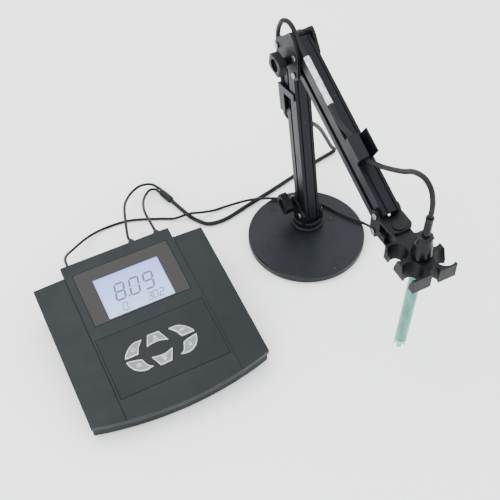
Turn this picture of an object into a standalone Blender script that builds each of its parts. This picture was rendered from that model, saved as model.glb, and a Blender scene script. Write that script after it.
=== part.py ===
"""A bench pH meter with its electrode stand: a wedge-shaped meter, and a round base that carries two
parallel-bar arms, a swivelling electrode holder and one electrode whose lead runs back to the meter.

The origin is the centre of the base's underside, X runs along the arm's pivots and Z is up."""

from math import acos, cos, pi, radians, sin

import bmesh
import bpy
from mathutils import Matrix, Vector

MM = 0.001

# Clearances
GAP = 0.3 * MM
BORE_PLAY = 0.3 * MM

# Meter housing
METER_X = -209.3 * MM
METER_BACK_Y = 29.4 * MM
METER_BACK_Z = 52.0 * MM
METER_SLOPE = radians(9.78)
METER_WIDTH = 189.3 * MM
METER_LENGTH = 161.6 * MM
CENTRE_WIDTH = 121.8 * MM
CENTRE_BACK = 12.4 * MM
CENTRE_RISE = 1.5 * MM
FRONT_RADIUS = 345.0 * MM
FRONT_END = 175.0 * MM
UPPER_DEPTH = 9.0 * MM
UPPER_WALL = 2.4 * MM
LEDGE_DEPTH = 4.5 * MM
LEDGE_WIDTH = 5.5 * MM
PANEL_SEAT = 1.6 * MM
LOWER_INSET = 1.2 * MM
LOWER_WALL = 2.5 * MM
LOWER_BOTTOM = 4.0 * MM
WINDOW_INSET = 3.0 * MM
CORNER = 2.5 * MM

# Display and keypad
LENS_WIDTH = 104.8 * MM
LENS_BACK = -1.6 * MM
LENS_FRONT = -65.6 * MM
LENS_THICK = 1.0 * MM
LCD_WIDTH = 72.0 * MM
LCD_BACK = -15.0 * MM
LCD_FRONT = -64.0 * MM
LCD_THICK = 3.8 * MM
KEYPAD_WIDTH = 116.0 * MM
KEYPAD_BACK = -80.8 * MM
KEYPAD_FRONT = -148.0 * MM
KEYPAD_THICK = 1.2 * MM
KEY_X = -1.8 * MM
KEY_Y = -114.2 * MM
KEY_RING_HALF_WIDTH = 38.0 * MM
KEY_RING_HALF_DEPTH = 17.4 * MM
KEY_EYE_HALF_WIDTH = 17.5 * MM
KEY_EYE_HALF_DEPTH = 5.2 * MM
KEY_PROUD = 0.9 * MM
KEY_HEIGHT = 4.6 * MM
KEY_PLAY = 0.5 * MM
BOARD_WIDTH = 100.0 * MM
BOARD_BACK = -4.0 * MM
BOARD_FRONT = -152.0 * MM
BOARD_TOP = -4.9 * MM
BOARD_THICK = 1.6 * MM

# Rear connectors and feet
SOCKET_Z = 35.0 * MM
SOCKET_SPOTS = (22.5 * MM, 52.0 * MM)
SOCKET_RADIUS = 5.2 * MM
SOCKET_LENGTH = 4.0 * MM
GLAND_SPOT = -50.5 * MM
GLAND_Z = 34.0 * MM
GLAND_RADIUS = 3.4 * MM
REAR_PANEL_THICK = 2.0 * MM
REAR_PANEL_HEIGHT = 26.0 * MM
PLUG_RADIUS = 4.6 * MM
PLUG_LENGTH = 15.0 * MM
SUPPLY_PLUG_LENGTH = 24.0 * MM
FOOT_RADIUS = 6.5 * MM
FOOT_HEIGHT = 3.7 * MM
FOOT_X = 80.0 * MM
FOOT_BACK_Y = 18.0 * MM
FOOT_FRONT_Y = -112.0 * MM

# Stand base
DISC_RADIUS = 65.8 * MM
DISC_TOP = 9.8 * MM
DISC_BOTTOM = 1.8 * MM
DISC_EDGE = 1.2 * MM
PAD_RADIUS = 61.0 * MM
PAD_THICK = 1.5 * MM
TURRET_X = 10.0 * MM
TURRET_Y = 15.5 * MM
FLANGE_RADIUS = 18.5 * MM
FLANGE_THICK = 3.2 * MM
TURRET_RADIUS = 16.5 * MM
TURRET_HEIGHT = 10.2 * MM
AXLE_RADIUS = 5.0 * MM
AXLE_HEAD_RADIUS = 9.0 * MM
AXLE_HEAD_THICK = 2.6 * MM
AXLE_REACH = 6.0 * MM

# Arms, seen from the side: distances along Y and Z
EAR_GAP = 19.0 * MM
EAR_THICK = 3.0 * MM
FRONT_PIVOT_Y = 10.0 * MM
FRONT_PIVOT_Z = 29.5 * MM
PIVOT_SPREAD_Y = 19.0 * MM
PIVOT_SPREAD_Z = 7.0 * MM
LOWER_ARM_LENGTH = 192.9 * MM
LOWER_ARM_LEAN = radians(10.76)
UPPER_ARM_LENGTH = 172.2 * MM
UPPER_ARM_SLOPE = radians(24.87)
ELBOW_REACH = 16.5 * MM
ELBOW_RISE = 14.6 * MM
UPPER_SPREAD = 20.2 * MM
CHANNEL_WIDTH = 17.5 * MM
CHANNEL_WALL = 2.0 * MM
LOWER_CHANNEL_DEPTH = 12.0 * MM
LOWER_CHANNEL_PAST = 5.0 * MM
BAR_WIDTH = 13.0 * MM
BACK_BAR_DEPTH = 8.0 * MM
TIE_BAR_DEPTH = 7.5 * MM
BAR_WALL = 2.0 * MM
BAR_PAST = 5.0 * MM
UPPER_CHANNEL_TOP = 11.0 * MM
UPPER_CHANNEL_BOTTOM = 3.5 * MM
UPPER_CHANNEL_REAR = 14.8 * MM
UPPER_CHANNEL_FRONT = 4.2 * MM
GROOVE_WIDTH = 1.5 * MM
GROOVE_DEPTH = 1.4 * MM
RAIL_WIDTH = 3.0 * MM
LEAD_STEP_WIDTH = 4.9 * MM
LEAD_STEP_DEPTH = 2.1 * MM
PIVOT_RADIUS = 2.2 * MM
BOLT_HEAD_RADIUS = 3.1 * MM
BOLT_HEAD_THICK = 1.4 * MM
WEB_DEPTH = 3.0 * MM
WEB_THICK = 2.5 * MM
WEB_INSET = 7.0 * MM

# Knobs
KNOB_LONG = 22.0 * MM
KNOB_SHORT = 18.0 * MM
KNOB_THICK = 8.2 * MM
KNOB_NECK_RADIUS = 4.5 * MM
KNOB_NECK = 5.0 * MM
KNOB_RECESS_RADIUS = 6.7 * MM
KNOB_RECESS = 3.0 * MM
BASE_KNOB_TURN = radians(24.6)
ELBOW_KNOB_TURN = radians(7.0)

# Wrist and holder, measured from the wrist's upper pivot
SWIVEL_FORWARD = 20.3 * MM
COVER_TOP = 1.4 * MM
COVER_THICK = 2.5 * MM
COVER_FRONT = 28.0 * MM
COVER_REAR = 6.4 * MM
COVER_CORNER = 8.0 * MM
CHEEK_LOW_TOP = 12.0 * MM
TONGUE_SWING = 2.8 * MM
CHEEK_FRONT = 5.5 * MM
FLOOR_THICK = 2.5 * MM
SWIVEL_RADIUS = 2.9 * MM
SWIVEL_HEAD_RADIUS = 6.5 * MM
SWIVEL_HEAD_THICK = 0.9 * MM
HOLDER_HEIGHT = 16.5 * MM
HOLDER_WIDTH = 45.0 * MM
HOLDER_DEPTH = 47.2 * MM
HOLDER_BACK = 12.5 * MM
TONGUE_RADIUS = 8.9 * MM
CLIP_X = 17.0 * MM
CLIP_Y = 12.0 * MM
CLIP_TOP_RADIUS = 10.0 * MM
CLIP_LOW_RADIUS = 6.0 * MM
CLIP_MOUTH = 9.0 * MM
NOTCH_RADIUS = 5.0 * MM
NOTCH_INSET = 3.3 * MM

# Electrode, along its own leaning axis from the holder's top face
ELECTRODE_LEAN = radians(2.5)
ELECTRODE_RADIUS = 6.0 * MM
ELECTRODE_BORE = 4.8 * MM
ELECTRODE_REACH = 135.0 * MM
ELECTRODE_PLAY = 1.0 * MM
CAP_RADIUS = 9.7 * MM
CAP_NECK_RADIUS = 6.4 * MM
CAP_HEIGHT = 25.5 * MM
CAP_LIFT = 0.8 * MM
CAP_SOCKET = 12.0 * MM
BOOT_RADIUS = 3.8 * MM
BOOT_TOP = 48.0 * MM
GUARD_LENGTH = 9.0 * MM
BULB_RADIUS = 3.6 * MM
STEM_RADIUS = 2.0 * MM

# Lead and cables
LEAD_RADIUS = 2.4 * MM
LEAD_SPACING = 11.0 * MM
BRANCH_RADIUS = 1.6 * MM
SUPPLY_RADIUS = 1.5 * MM
SPLITTER_RADIUS = 4.2 * MM
SPLITTER_LENGTH = 20.0 * MM
CLIP_SHEET = 1.3 * MM
CLIP_EAVE = 6.5 * MM
CLIP_RIDGE = 12.0 * MM
CLIP_SLOT = -0.6 * MM
CLIP_FLAP = 16.0 * MM
CLIP_FLAP_FOOT = 4.4 * MM
CLIP_FLAP_LEAN = 2.0 * MM
UPPER_CLIP_START = -123.0 * MM
UPPER_CLIP_LENGTH = 25.0 * MM
LOWER_CLIP_START = 124.0 * MM
LOWER_CLIP_LENGTH = 32.0 * MM
LOWER_CLIP_REACH = 28.2 * MM
LOWER_CLIP_WALL = 10.0 * MM
LOWER_CLIP_STRAP = 8.0 * MM
LOWER_CLIP_BACK = 9.0 * MM
LEAD_BEHIND = 25.4 * MM

# Places that follow from the sizes above
ARM_X = TURRET_X
EAR_OUT = EAR_GAP / 2 + EAR_THICK
LOWER_DIRECTION = Vector((0, sin(LOWER_ARM_LEAN), cos(LOWER_ARM_LEAN)))
UPPER_DIRECTION = Vector((0, -cos(UPPER_ARM_SLOPE), -sin(UPPER_ARM_SLOPE)))
BASE_FRONT = Vector((ARM_X, FRONT_PIVOT_Y, FRONT_PIVOT_Z))
BASE_BACK = BASE_FRONT + Vector((0, PIVOT_SPREAD_Y, PIVOT_SPREAD_Z))
ELBOW_FRONT = BASE_FRONT + LOWER_DIRECTION * LOWER_ARM_LENGTH
ELBOW_BACK = BASE_BACK + LOWER_DIRECTION * LOWER_ARM_LENGTH
UPPER_ROOT = ELBOW_FRONT + Vector((0, -ELBOW_REACH, ELBOW_RISE))
TIE_ROOT = UPPER_ROOT - Vector((0, 0, UPPER_SPREAD))
WRIST_TOP = UPPER_ROOT + UPPER_DIRECTION * UPPER_ARM_LENGTH
WRIST_LOW = TIE_ROOT + UPPER_DIRECTION * UPPER_ARM_LENGTH
SWIVEL = WRIST_TOP - Vector((0, SWIVEL_FORWARD, 0))
HOLDER_TOP = WRIST_TOP.z + COVER_TOP - COVER_THICK - GAP * 2
HOLDER_LOW = HOLDER_TOP - HOLDER_HEIGHT
HOLDER_CENTRE = Vector((ARM_X, SWIVEL.y - HOLDER_BACK - HOLDER_DEPTH / 2, HOLDER_TOP))
METER_TURN = Matrix.Rotation(METER_SLOPE, 4, "X")
SPLITTER_START = Vector((-114, 122, 4.5))
SPLITTER_AIM = Vector((-118.6, 137, 5.2))

COLOURS = {
    "charcoal": ((0.045, 0.052, 0.055), 0.55, 0.0),
    "black": ((0.016, 0.019, 0.024), 0.45, 0.0),
    "anodised": ((0.022, 0.026, 0.032), 0.35, 0.6),
    "rubber": ((0.012, 0.012, 0.013), 0.8, 0.0),
    "lens": ((0.06, 0.055, 0.052), 0.1, 0.0),
    "display": ((0.55, 0.65, 0.85), 0.25, 0.0),
    "key": ((0.3, 0.31, 0.31), 0.4, 0.0),
    "board": ((0.02, 0.12, 0.05), 0.5, 0.0),
    "steel": ((0.6, 0.6, 0.6), 0.3, 1.0),
    "teal": ((0.1, 0.5, 0.45), 0.25, 0.0),
    "guard": ((0.35, 0.7, 0.65), 0.3, 0.0),
    "glass": ((0.8, 0.85, 0.85), 0.1, 0.0),
}


# ---------------------------------------------------------------- tools

def material(name):
    """The named colour's material, made once."""
    found = bpy.data.materials.get(name)
    if found:
        return found
    colour, roughness, metallic = COLOURS[name]
    made = bpy.data.materials.new(name)
    made.use_nodes = True
    shader = made.node_tree.nodes["Principled BSDF"]
    shader.inputs["Base Color"].default_value = (*colour, 1)
    shader.inputs["Roughness"].default_value = roughness
    shader.inputs["Metallic"].default_value = metallic
    return made


def place(name, mesh, parent, colour):
    """An object for the mesh: a part in its colour, or a cutter when there is no colour."""
    made = bpy.data.objects.new(name, mesh)
    made.parent = parent
    if colour:
        parts.objects.link(made)
        mesh.materials.append(material(colour))
        mesh.shade_smooth()
        mesh.set_sharp_from_angle(angle=radians(35))
    else:
        cutters.objects.link(made)
        made.hide_render = True
        made.display_type = "WIRE"
    return made


def frame(name, at, turn=None):
    """An empty that carries the pieces of one moving body."""
    made = bpy.data.objects.new(name, None)
    made.matrix_world = Matrix.Translation(at) @ (turn or Matrix())
    parts.objects.link(made)
    return made


AXES = {
    "Z": Matrix(),
    "X": Matrix(((0, 0, 1, 0), (1, 0, 0, 0), (0, 1, 0, 0), (0, 0, 0, 1))),
    "Y": Matrix(((0, 1, 0, 0), (0, 0, 1, 0), (1, 0, 0, 0), (0, 0, 0, 1))),
}


def finished(mesh, matrix):
    """The mesh moved by the matrix, its loose caps welded and its faces pointing out."""
    work = bmesh.new()
    work.from_mesh(mesh)
    bmesh.ops.remove_doubles(work, verts=work.verts, dist=1e-6)
    bmesh.ops.transform(work, matrix=matrix, verts=work.verts)
    bmesh.ops.recalc_face_normals(work, faces=work.faces)
    work.to_mesh(mesh)
    work.free()
    return mesh


def plate(name, outline, low, high, axis="Z", parent=None, colour=None):
    """A flat outline with its thickness from low to high along an axis. The outline's two numbers run
    along X and Y for Z, along Y and Z for X, and along Z and X for Y."""
    curve = bpy.data.curves.new(name, "CURVE")
    curve.dimensions = "2D"
    curve.fill_mode = "BOTH"
    curve.extrude = (high - low) / 2
    line = curve.splines.new("POLY")
    line.points.add(len(outline) - 1)
    for point, (a, b) in zip(line.points, outline):
        point.co = (a, b, 0, 1)
    line.use_cyclic_u = True
    drawn = bpy.data.objects.new(name + "_outline", curve)
    cutters.objects.link(drawn)
    graph = bpy.context.evaluated_depsgraph_get()
    mesh = bpy.data.meshes.new_from_object(drawn.evaluated_get(graph))
    bpy.data.objects.remove(drawn)
    matrix = AXES[axis] @ Matrix.Translation((0, 0, (low + high) / 2))
    return place(name, finished(mesh, matrix), parent, colour)


def block(name, low, high, parent=None, colour=None):
    """A box between two corners."""
    mesh = bpy.data.meshes.new(name)
    work = bmesh.new()
    bmesh.ops.create_cube(work, size=1)
    work.to_mesh(mesh)
    work.free()
    size = [b - a for a, b in zip(low, high)]
    middle = [(a + b) / 2 for a, b in zip(low, high)]
    matrix = Matrix.Translation(middle) @ Matrix.Diagonal((*size, 1))
    return place(name, finished(mesh, matrix), parent, colour)


def rod(name, radius, low, high, at=(0, 0), axis="Z", parent=None, colour=None, sides=24, top=None):
    """A round bar, or a cone when its top has a radius of its own. The place's two numbers run as an
    outline's do."""
    mesh = bpy.data.meshes.new(name)
    work = bmesh.new()
    wide = radius if top is None else top
    bmesh.ops.create_cone(
        work, cap_ends=True, segments=sides, radius1=radius, radius2=wide, depth=high - low
    )
    work.to_mesh(mesh)
    work.free()
    matrix = AXES[axis] @ Matrix.Translation((*at, (low + high) / 2))
    return place(name, finished(mesh, matrix), parent, colour)


def turned(name, profile, axis="Z", at=(0, 0), parent=None, colour=None, sides=24, closed=False):
    """A turned shape. The profile's points are (radius, height), down the outer side."""
    mesh = bpy.data.meshes.new(name)
    work = bmesh.new()
    verts = [work.verts.new((radius, 0, height)) for radius, height in profile]
    pairs = list(zip(verts, verts[1:]))
    if closed:
        pairs.append((verts[-1], verts[0]))
    for pair in pairs:
        work.edges.new(pair)
    work.to_mesh(mesh)
    work.free()
    made = place(name, mesh, parent, colour)
    made.matrix_local = AXES[axis] @ Matrix.Translation((*at, 0))
    screw = made.modifiers.new("turn", "SCREW")
    screw.steps = sides
    screw.render_steps = sides
    screw.use_merge_vertices = True
    screw.merge_threshold = 1e-5
    return made


def cut(piece, *tools, operation="DIFFERENCE"):
    """The piece with each tool cut out of it, or joined to it."""
    for tool in tools:
        step = piece.modifiers.new(operation.lower(), "BOOLEAN")
        step.operation = operation
        step.object = tool
    return piece


def arc(centre, radius, start, end, steps):
    """Points along an arc, with its angles in degrees."""
    turns = [radians(start + (end - start) * i / steps) for i in range(steps + 1)]
    return [(centre[0] + radius * cos(t), centre[1] + radius * sin(t)) for t in turns]


def rounded(corners, radius, steps=3):
    """A polygon with its corners rounded, each by no more than its sides have room for."""
    outline = []
    count = len(corners)
    for i, corner in enumerate(corners):
        here = Vector(corner)
        before = Vector(corners[i - 1]) - here
        after = Vector(corners[(i + 1) % count]) - here
        half = before.angle(after) / 2
        back = min(radius / abs(sin(half) / cos(half)), before.length * 0.49, after.length * 0.49)
        start = here + before.normalized() * back
        end = here + after.normalized() * back
        for k in range(steps + 1):
            t = k / steps
            point = start * (1 - t) ** 2 + here * 2 * t * (1 - t) + end * t ** 2
            outline.append((point.x, point.y))
    return outline


def rectangle(low, high):
    return [low, (high[0], low[1]), high, (low[0], high[1])]


def smooth_route(points, spacing, start=None, end=None):
    """Points at an even spacing along a smooth curve through the given ones, which leaves its first
    point and reaches its last one along the given headings."""
    before = points[0] * 2 - points[1]
    after = points[-1] * 2 - points[-2]
    if start:
        before = points[1] - start * (points[1] - points[0]).length * 2
        after = points[-2] + end * (points[-1] - points[-2]).length * 2
    ends = [before, *points, after]
    fine = []
    for a, b, c, d in zip(ends, ends[1:], ends[2:], ends[3:]):
        for k in range(12):
            t = k / 12
            fine.append(
                b + (c - a) * t / 2
                + (a * 2 - b * 5 + c * 4 - d) * t ** 2 / 2
                + (b * 3 - a - c * 3 + d) * t ** 3 / 2
            )
    fine.append(points[-1])
    lengths = [0]
    for a, b in zip(fine, fine[1:]):
        lengths.append(lengths[-1] + (b - a).length)
    count = max(2, round(lengths[-1] / spacing))
    route = []
    index = 0
    for k in range(count + 1):
        wanted = lengths[-1] * k / count
        while index < len(fine) - 2 and lengths[index + 1] < wanted:
            index += 1
        span = lengths[index + 1] - lengths[index]
        route.append(fine[index].lerp(fine[index + 1], (wanted - lengths[index]) / span))
    return route


def cable(name, points, radius):
    """A round cable through the points, as a tube with filled caps."""
    curve = bpy.data.curves.new(name, "CURVE")
    curve.dimensions = "3D"
    curve.bevel_depth = radius
    curve.bevel_resolution = 2
    curve.use_fill_caps = True
    line = curve.splines.new("POLY")
    line.points.add(len(points) - 1)
    for point, at in zip(line.points, points):
        point.co = (*at, 1)
    curve.materials.append(material("rubber"))
    made = bpy.data.objects.new(name, curve)
    parts.objects.link(made)
    return made


# ---------------------------------------------------------------- meter

def front_edge(x, inset=0.0):
    """How far forward the housing reaches at x: an arc across the whole width."""
    radius = FRONT_RADIUS - inset
    return FRONT_RADIUS - FRONT_END - (radius**2 - x**2) ** 0.5


def housing_outline(inset=0.0):
    """The housing's outline from above: two wings, and a centre that reaches further back."""
    half = METER_WIDTH / 2 - inset
    centre = CENTRE_WIDTH / 2 - inset
    front = [half - 2 * half * i / 14 for i in range(15)]
    corners = [
        (-half, -inset), (-centre, -inset), (-centre, CENTRE_BACK - inset),
        (centre, CENTRE_BACK - inset), (centre, -inset), (half, -inset),
    ]
    return corners + [(x, front_edge(x, inset)) for x in front]


def panel_outline(inset=0.0):
    """The raised centre's outline: straight sides and back, and the housing's arc in front."""
    half = CENTRE_WIDTH / 2 - inset
    front = [half - 2 * half * i / 10 for i in range(11)]
    back = [(-half, CENTRE_BACK - inset), (half, CENTRE_BACK - inset)]
    return back + [(x, front_edge(x, inset)) for x in front]


def ellipse_y(x, half_width, half_depth):
    return half_depth * (1 - (x / half_width) ** 2) ** 0.5


def key_outlines():
    """The six keys round the central eye, as (name, outline): two trapezoids above and below, and four
    petals cut from an ellipse."""
    wide, deep = KEY_RING_HALF_WIDTH, KEY_RING_HALF_DEPTH
    top_x = [-7.5 * MM, 6.0 * MM]
    low_x = [11.5 * MM, -13.0 * MM]
    top = [(x, ellipse_y(x, wide, deep)) for x in top_x]
    eye = [low_x[0] + (low_x[1] - low_x[0]) * i / 4 for i in range(5)]
    bottom = [(x, ellipse_y(x, KEY_EYE_HALF_WIDTH, KEY_EYE_HALF_DEPTH) + 2.2 * MM) for x in eye]
    upper = top + bottom
    petal_x = [13.5 * MM + (35.5 * MM - 13.5 * MM) * i / 6 for i in range(7)]
    outer = [(x, ellipse_y(x, wide, deep)) for x in petal_x]
    inner = [(29.0 * MM, 2.6 * MM), (22.5 * MM, 4.0 * MM), (18.5 * MM, 9.5 * MM)]
    petal = outer + inner
    found = []
    for name, shape, side, end in (
        ("key_up", upper, 1, 1), ("key_down", upper, 1, -1),
        ("key_power", petal, -1, 1), ("key_lower_left", petal, -1, -1),
        ("key_upper_right", petal, 1, 1), ("key_lower_right", petal, 1, -1),
    ):
        found.append((name, [(KEY_X + x * side, KEY_Y + y * end) for x, y in shape]))
    return found


def grown(outline, by):
    """A convex or nearly convex outline moved outward from its middle."""
    middle = Vector((sum(x for x, _ in outline), sum(y for _, y in outline))) / len(outline)
    result = []
    for point in outline:
        away = Vector(point) - middle
        result.append(tuple(middle + away * (1 + by / away.length)))
    return result


def make_meter():
    body = frame("meter_frame", (METER_X, METER_BACK_Y, METER_BACK_Z), METER_TURN)
    make_upper_housing(body)
    make_centre_panel(body)
    make_display(body)
    make_keypad(body)
    make_lower_housing(body)
    make_rear(body)
    make_feet()


def make_upper_housing(body):
    shell = plate("upper_housing", housing_outline(), -UPPER_DEPTH, 0, parent=body, colour="charcoal")
    hollow = plate("upper_hollow", housing_outline(UPPER_WALL), -UPPER_DEPTH * 2, -LEDGE_DEPTH, parent=body)
    seat_outline = panel_outline(-GAP)
    seat_outline[0] = (seat_outline[0][0], CENTRE_BACK + UPPER_WALL)
    seat_outline[1] = (seat_outline[1][0], CENTRE_BACK + UPPER_WALL)
    for i in range(2, len(seat_outline)):
        x, y = seat_outline[i]
        seat_outline[i] = (x, y - UPPER_WALL)
    seat = plate("panel_seat", seat_outline, -PANEL_SEAT, UPPER_WALL, parent=body)
    inner = CENTRE_WIDTH / 2 - LEDGE_WIDTH
    opening = block(
        "deck_opening",
        (-inner, BOARD_FRONT - LEDGE_WIDTH, -LEDGE_DEPTH * 2),
        (inner, CENTRE_BACK - LEDGE_WIDTH, UPPER_WALL),
        body,
    )
    wings = []
    side_in = CENTRE_WIDTH / 2 + UPPER_WALL
    side_out = METER_WIDTH / 2 - UPPER_WALL
    for side in (-1, 1):
        near, far = sorted((side * side_in, side * side_out))
        wings.append(block(
            "wing_hollow", (near, -METER_LENGTH + UPPER_WALL, -UPPER_DEPTH),
            (far, -UPPER_WALL, -UPPER_WALL), body,
        ))
    cut(shell, hollow, seat, opening, *wings)


def make_centre_panel(body):
    panel = plate(
        "centre_panel", panel_outline(), GAP - PANEL_SEAT, CENTRE_RISE, parent=body, colour="charcoal"
    )
    lens = LENS_WIDTH / 2 + GAP
    lens_seat = block(
        "lens_seat", (-lens, LENS_FRONT - GAP, CENTRE_RISE - LENS_THICK - GAP),
        (lens, LENS_BACK + GAP, CENTRE_RISE * 2), body,
    )
    lcd = LCD_WIDTH / 2 + GAP
    window = block(
        "lcd_window", (-lcd, LCD_FRONT - GAP, -LEDGE_DEPTH), (lcd, LCD_BACK + GAP, CENTRE_RISE * 2), body
    )
    pad = KEYPAD_WIDTH / 2 + GAP
    pad_seat = block(
        "keypad_seat", (-pad, KEYPAD_FRONT - GAP, CENTRE_RISE - KEYPAD_THICK - GAP),
        (pad, KEYPAD_BACK + GAP, CENTRE_RISE * 2), body,
    )
    room = KEY_RING_HALF_WIDTH + KEY_PLAY * 3
    deep = KEY_RING_HALF_DEPTH + KEY_PLAY * 3
    well = block(
        "key_well", (KEY_X - room, KEY_Y - deep, -LEDGE_DEPTH), (KEY_X + room, KEY_Y + deep, CENTRE_RISE * 2),
        body,
    )
    cut(panel, lens_seat, window, pad_seat, well)


def make_display(body):
    lens = LENS_WIDTH / 2
    block(
        "display_lens", (-lens, LENS_FRONT, CENTRE_RISE - LENS_THICK), (lens, LENS_BACK, CENTRE_RISE),
        body, "lens",
    )
    lcd = LCD_WIDTH / 2
    top = CENTRE_RISE - LENS_THICK - GAP * 2
    block("lcd_module", (-lcd, LCD_FRONT, top - LCD_THICK), (lcd, LCD_BACK, top), body, "display")
    board = BOARD_WIDTH / 2
    block(
        "circuit_board", (-board, BOARD_FRONT, BOARD_TOP - BOARD_THICK), (board, BOARD_BACK, BOARD_TOP),
        body, "board",
    )


def make_keypad(body):
    half = KEYPAD_WIDTH / 2
    sheet = block(
        "keypad_panel", (-half, KEYPAD_FRONT, CENTRE_RISE - KEYPAD_THICK), (half, KEYPAD_BACK, CENTRE_RISE),
        body, "charcoal",
    )
    top = CENTRE_RISE + KEY_PROUD
    for name, outline in key_outlines():
        hole = plate(name + "_hole", grown(outline, KEY_PLAY), -UPPER_DEPTH, top * 2, parent=body)
        cut(sheet, hole)
        plate(name, outline, top - KEY_HEIGHT, top, parent=body, colour="key")


def make_lower_housing(body):
    def ground(points, inset_y):
        return [
            (METER_X + x, METER_BACK_Y + y * cos(METER_SLOPE) + inset_y) for x, y in points
        ]

    lean = UPPER_DEPTH * sin(METER_SLOPE)
    outer = ground(housing_outline(LOWER_INSET), lean)
    tray = plate("lower_housing", outer, LOWER_BOTTOM, METER_BACK_Z * 2, colour="charcoal")
    wall = LOWER_INSET + LOWER_WALL
    hollow = plate("lower_hollow", ground(housing_outline(wall), lean), LOWER_BOTTOM + LOWER_WALL, METER_BACK_Z * 3)
    size = METER_WIDTH
    above = block(
        "above_seam", (-size, -METER_LENGTH * 2, -UPPER_DEPTH - GAP), (size, METER_LENGTH, size), body
    )
    window = block(
        "rear_window",
        (METER_X - CENTRE_WIDTH / 2 + WINDOW_INSET, METER_BACK_Y + LOWER_WALL, SOCKET_Z - REAR_PANEL_HEIGHT / 2),
        (METER_X + CENTRE_WIDTH / 2 - WINDOW_INSET, METER_BACK_Y + METER_LENGTH, SOCKET_Z + SOCKET_RADIUS + GAP),
    )
    cut(tray, hollow, above, window)


def rear_y():
    """The outer face of the housing's back wall."""
    return METER_BACK_Y + (CENTRE_BACK - LOWER_INSET) * cos(METER_SLOPE) + UPPER_DEPTH * sin(METER_SLOPE)


def make_rear(body):
    """The connector panel in the back wall's window, with its two sockets and its cable gland."""
    back = rear_y()
    low = (
        METER_X - CENTRE_WIDTH / 2 + WINDOW_INSET + GAP,
        back - REAR_PANEL_THICK,
        SOCKET_Z - REAR_PANEL_HEIGHT / 2 + GAP,
    )
    high = (METER_X + CENTRE_WIDTH / 2 - WINDOW_INSET - GAP, back, SOCKET_Z + SOCKET_RADIUS)
    panel = block("rear_panel", low, high, colour="charcoal")
    for spot in SOCKET_SPOTS:
        at = (SOCKET_Z, METER_X + spot)
        collar = rod("socket_collar", SOCKET_RADIUS, back - REAR_PANEL_THICK / 2, back + SOCKET_LENGTH, at, "Y")
        cut(panel, collar, operation="UNION")
    at = (GLAND_Z, METER_X + GLAND_SPOT)
    gland = rod("gland_collar", GLAND_RADIUS, back - REAR_PANEL_THICK / 2, back + SOCKET_LENGTH, at, "Y")
    cut(panel, gland, operation="UNION")


def make_feet():
    spots = [(x, y) for x in (-FOOT_X, FOOT_X) for y in (FOOT_BACK_Y, FOOT_FRONT_Y)]
    for name, (x, y) in zip(("foot_back_left", "foot_front_left", "foot_back_right", "foot_front_right"), spots):
        rod(name, FOOT_RADIUS, 0, FOOT_HEIGHT, (METER_X + x, y), colour="rubber", sides=20)


# ---------------------------------------------------------------- stand

def make_base():
    rod("base_pad", PAD_RADIUS, 0, PAD_THICK, colour="rubber", sides=64)
    disc = turned(
        "stand_disc",
        [
            (0, DISC_TOP), (DISC_RADIUS - DISC_EDGE, DISC_TOP), (DISC_RADIUS, DISC_TOP - DISC_EDGE),
            (DISC_RADIUS, DISC_BOTTOM), (0, DISC_BOTTOM),
        ],
        colour="black", sides=72,
    )
    at = (TURRET_X, TURRET_Y)
    bore = rod("axle_bore", AXLE_RADIUS + BORE_PLAY, 0, DISC_TOP * 2, at)
    pocket = rod("axle_pocket", AXLE_HEAD_RADIUS + GAP, 0, DISC_BOTTOM + AXLE_HEAD_THICK + GAP * 2, at)
    cut(disc, bore, pocket)


def make_turret(body):
    low = DISC_TOP + GAP
    profile = [
        (0, low + TURRET_HEIGHT), (TURRET_RADIUS - DISC_EDGE, low + TURRET_HEIGHT),
        (TURRET_RADIUS, low + TURRET_HEIGHT - DISC_EDGE), (TURRET_RADIUS, low + FLANGE_THICK),
        (FLANGE_RADIUS, low + FLANGE_THICK - DISC_EDGE), (FLANGE_RADIUS, low), (0, low),
    ]
    cup = turned("turret", profile, parent=body, colour="black", sides=40)
    bore = rod("turret_bore", AXLE_RADIUS + BORE_PLAY, 0, low + AXLE_REACH + GAP, parent=body)
    floor = low + TURRET_HEIGHT
    front = BASE_FRONT.y - TURRET_Y
    back = BASE_BACK.y - TURRET_Y
    tail = radians(45)
    side = rounded(
        [
            (front - 7 * MM, floor - 3 * MM), (front - 7 * MM, BASE_FRONT.z + 3 * MM),
            (front - 2 * MM, BASE_FRONT.z + 7 * MM), (back, BASE_BACK.z + 6.5 * MM),
            (back + 7 * MM, BASE_BACK.z + 1 * MM), (back + 5 * MM, BASE_BACK.z - 6 * MM),
            (TURRET_RADIUS * cos(tail), floor - 3 * MM),
        ],
        3 * MM,
    )
    fork = plate("turret_fork", side, -EAR_OUT, EAR_OUT, "X", body)
    half = EAR_GAP / 2
    slot = block(
        "fork_slot", (-half, -FLANGE_RADIUS * 2, floor), (half, FLANGE_RADIUS * 2, BASE_BACK.z * 2), body
    )
    cut(cup, fork, operation="UNION")
    cut(cup, bore, slot)
    for pivot in (BASE_FRONT, BASE_BACK):
        at = (pivot.y - TURRET_Y, pivot.z)
        cut(cup, rod("fork_hole", PIVOT_RADIUS + BORE_PLAY, -EAR_OUT * 2, EAR_OUT * 2, at, "X", body))
    step = DISC_BOTTOM + GAP
    turned(
        "turret_axle",
        [
            (0, low + AXLE_REACH), (AXLE_RADIUS, low + AXLE_REACH), (AXLE_RADIUS, step + AXLE_HEAD_THICK),
            (AXLE_HEAD_RADIUS, step + AXLE_HEAD_THICK), (AXLE_HEAD_RADIUS, step), (0, step),
        ],
        parent=body, colour="steel",
    )


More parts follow.
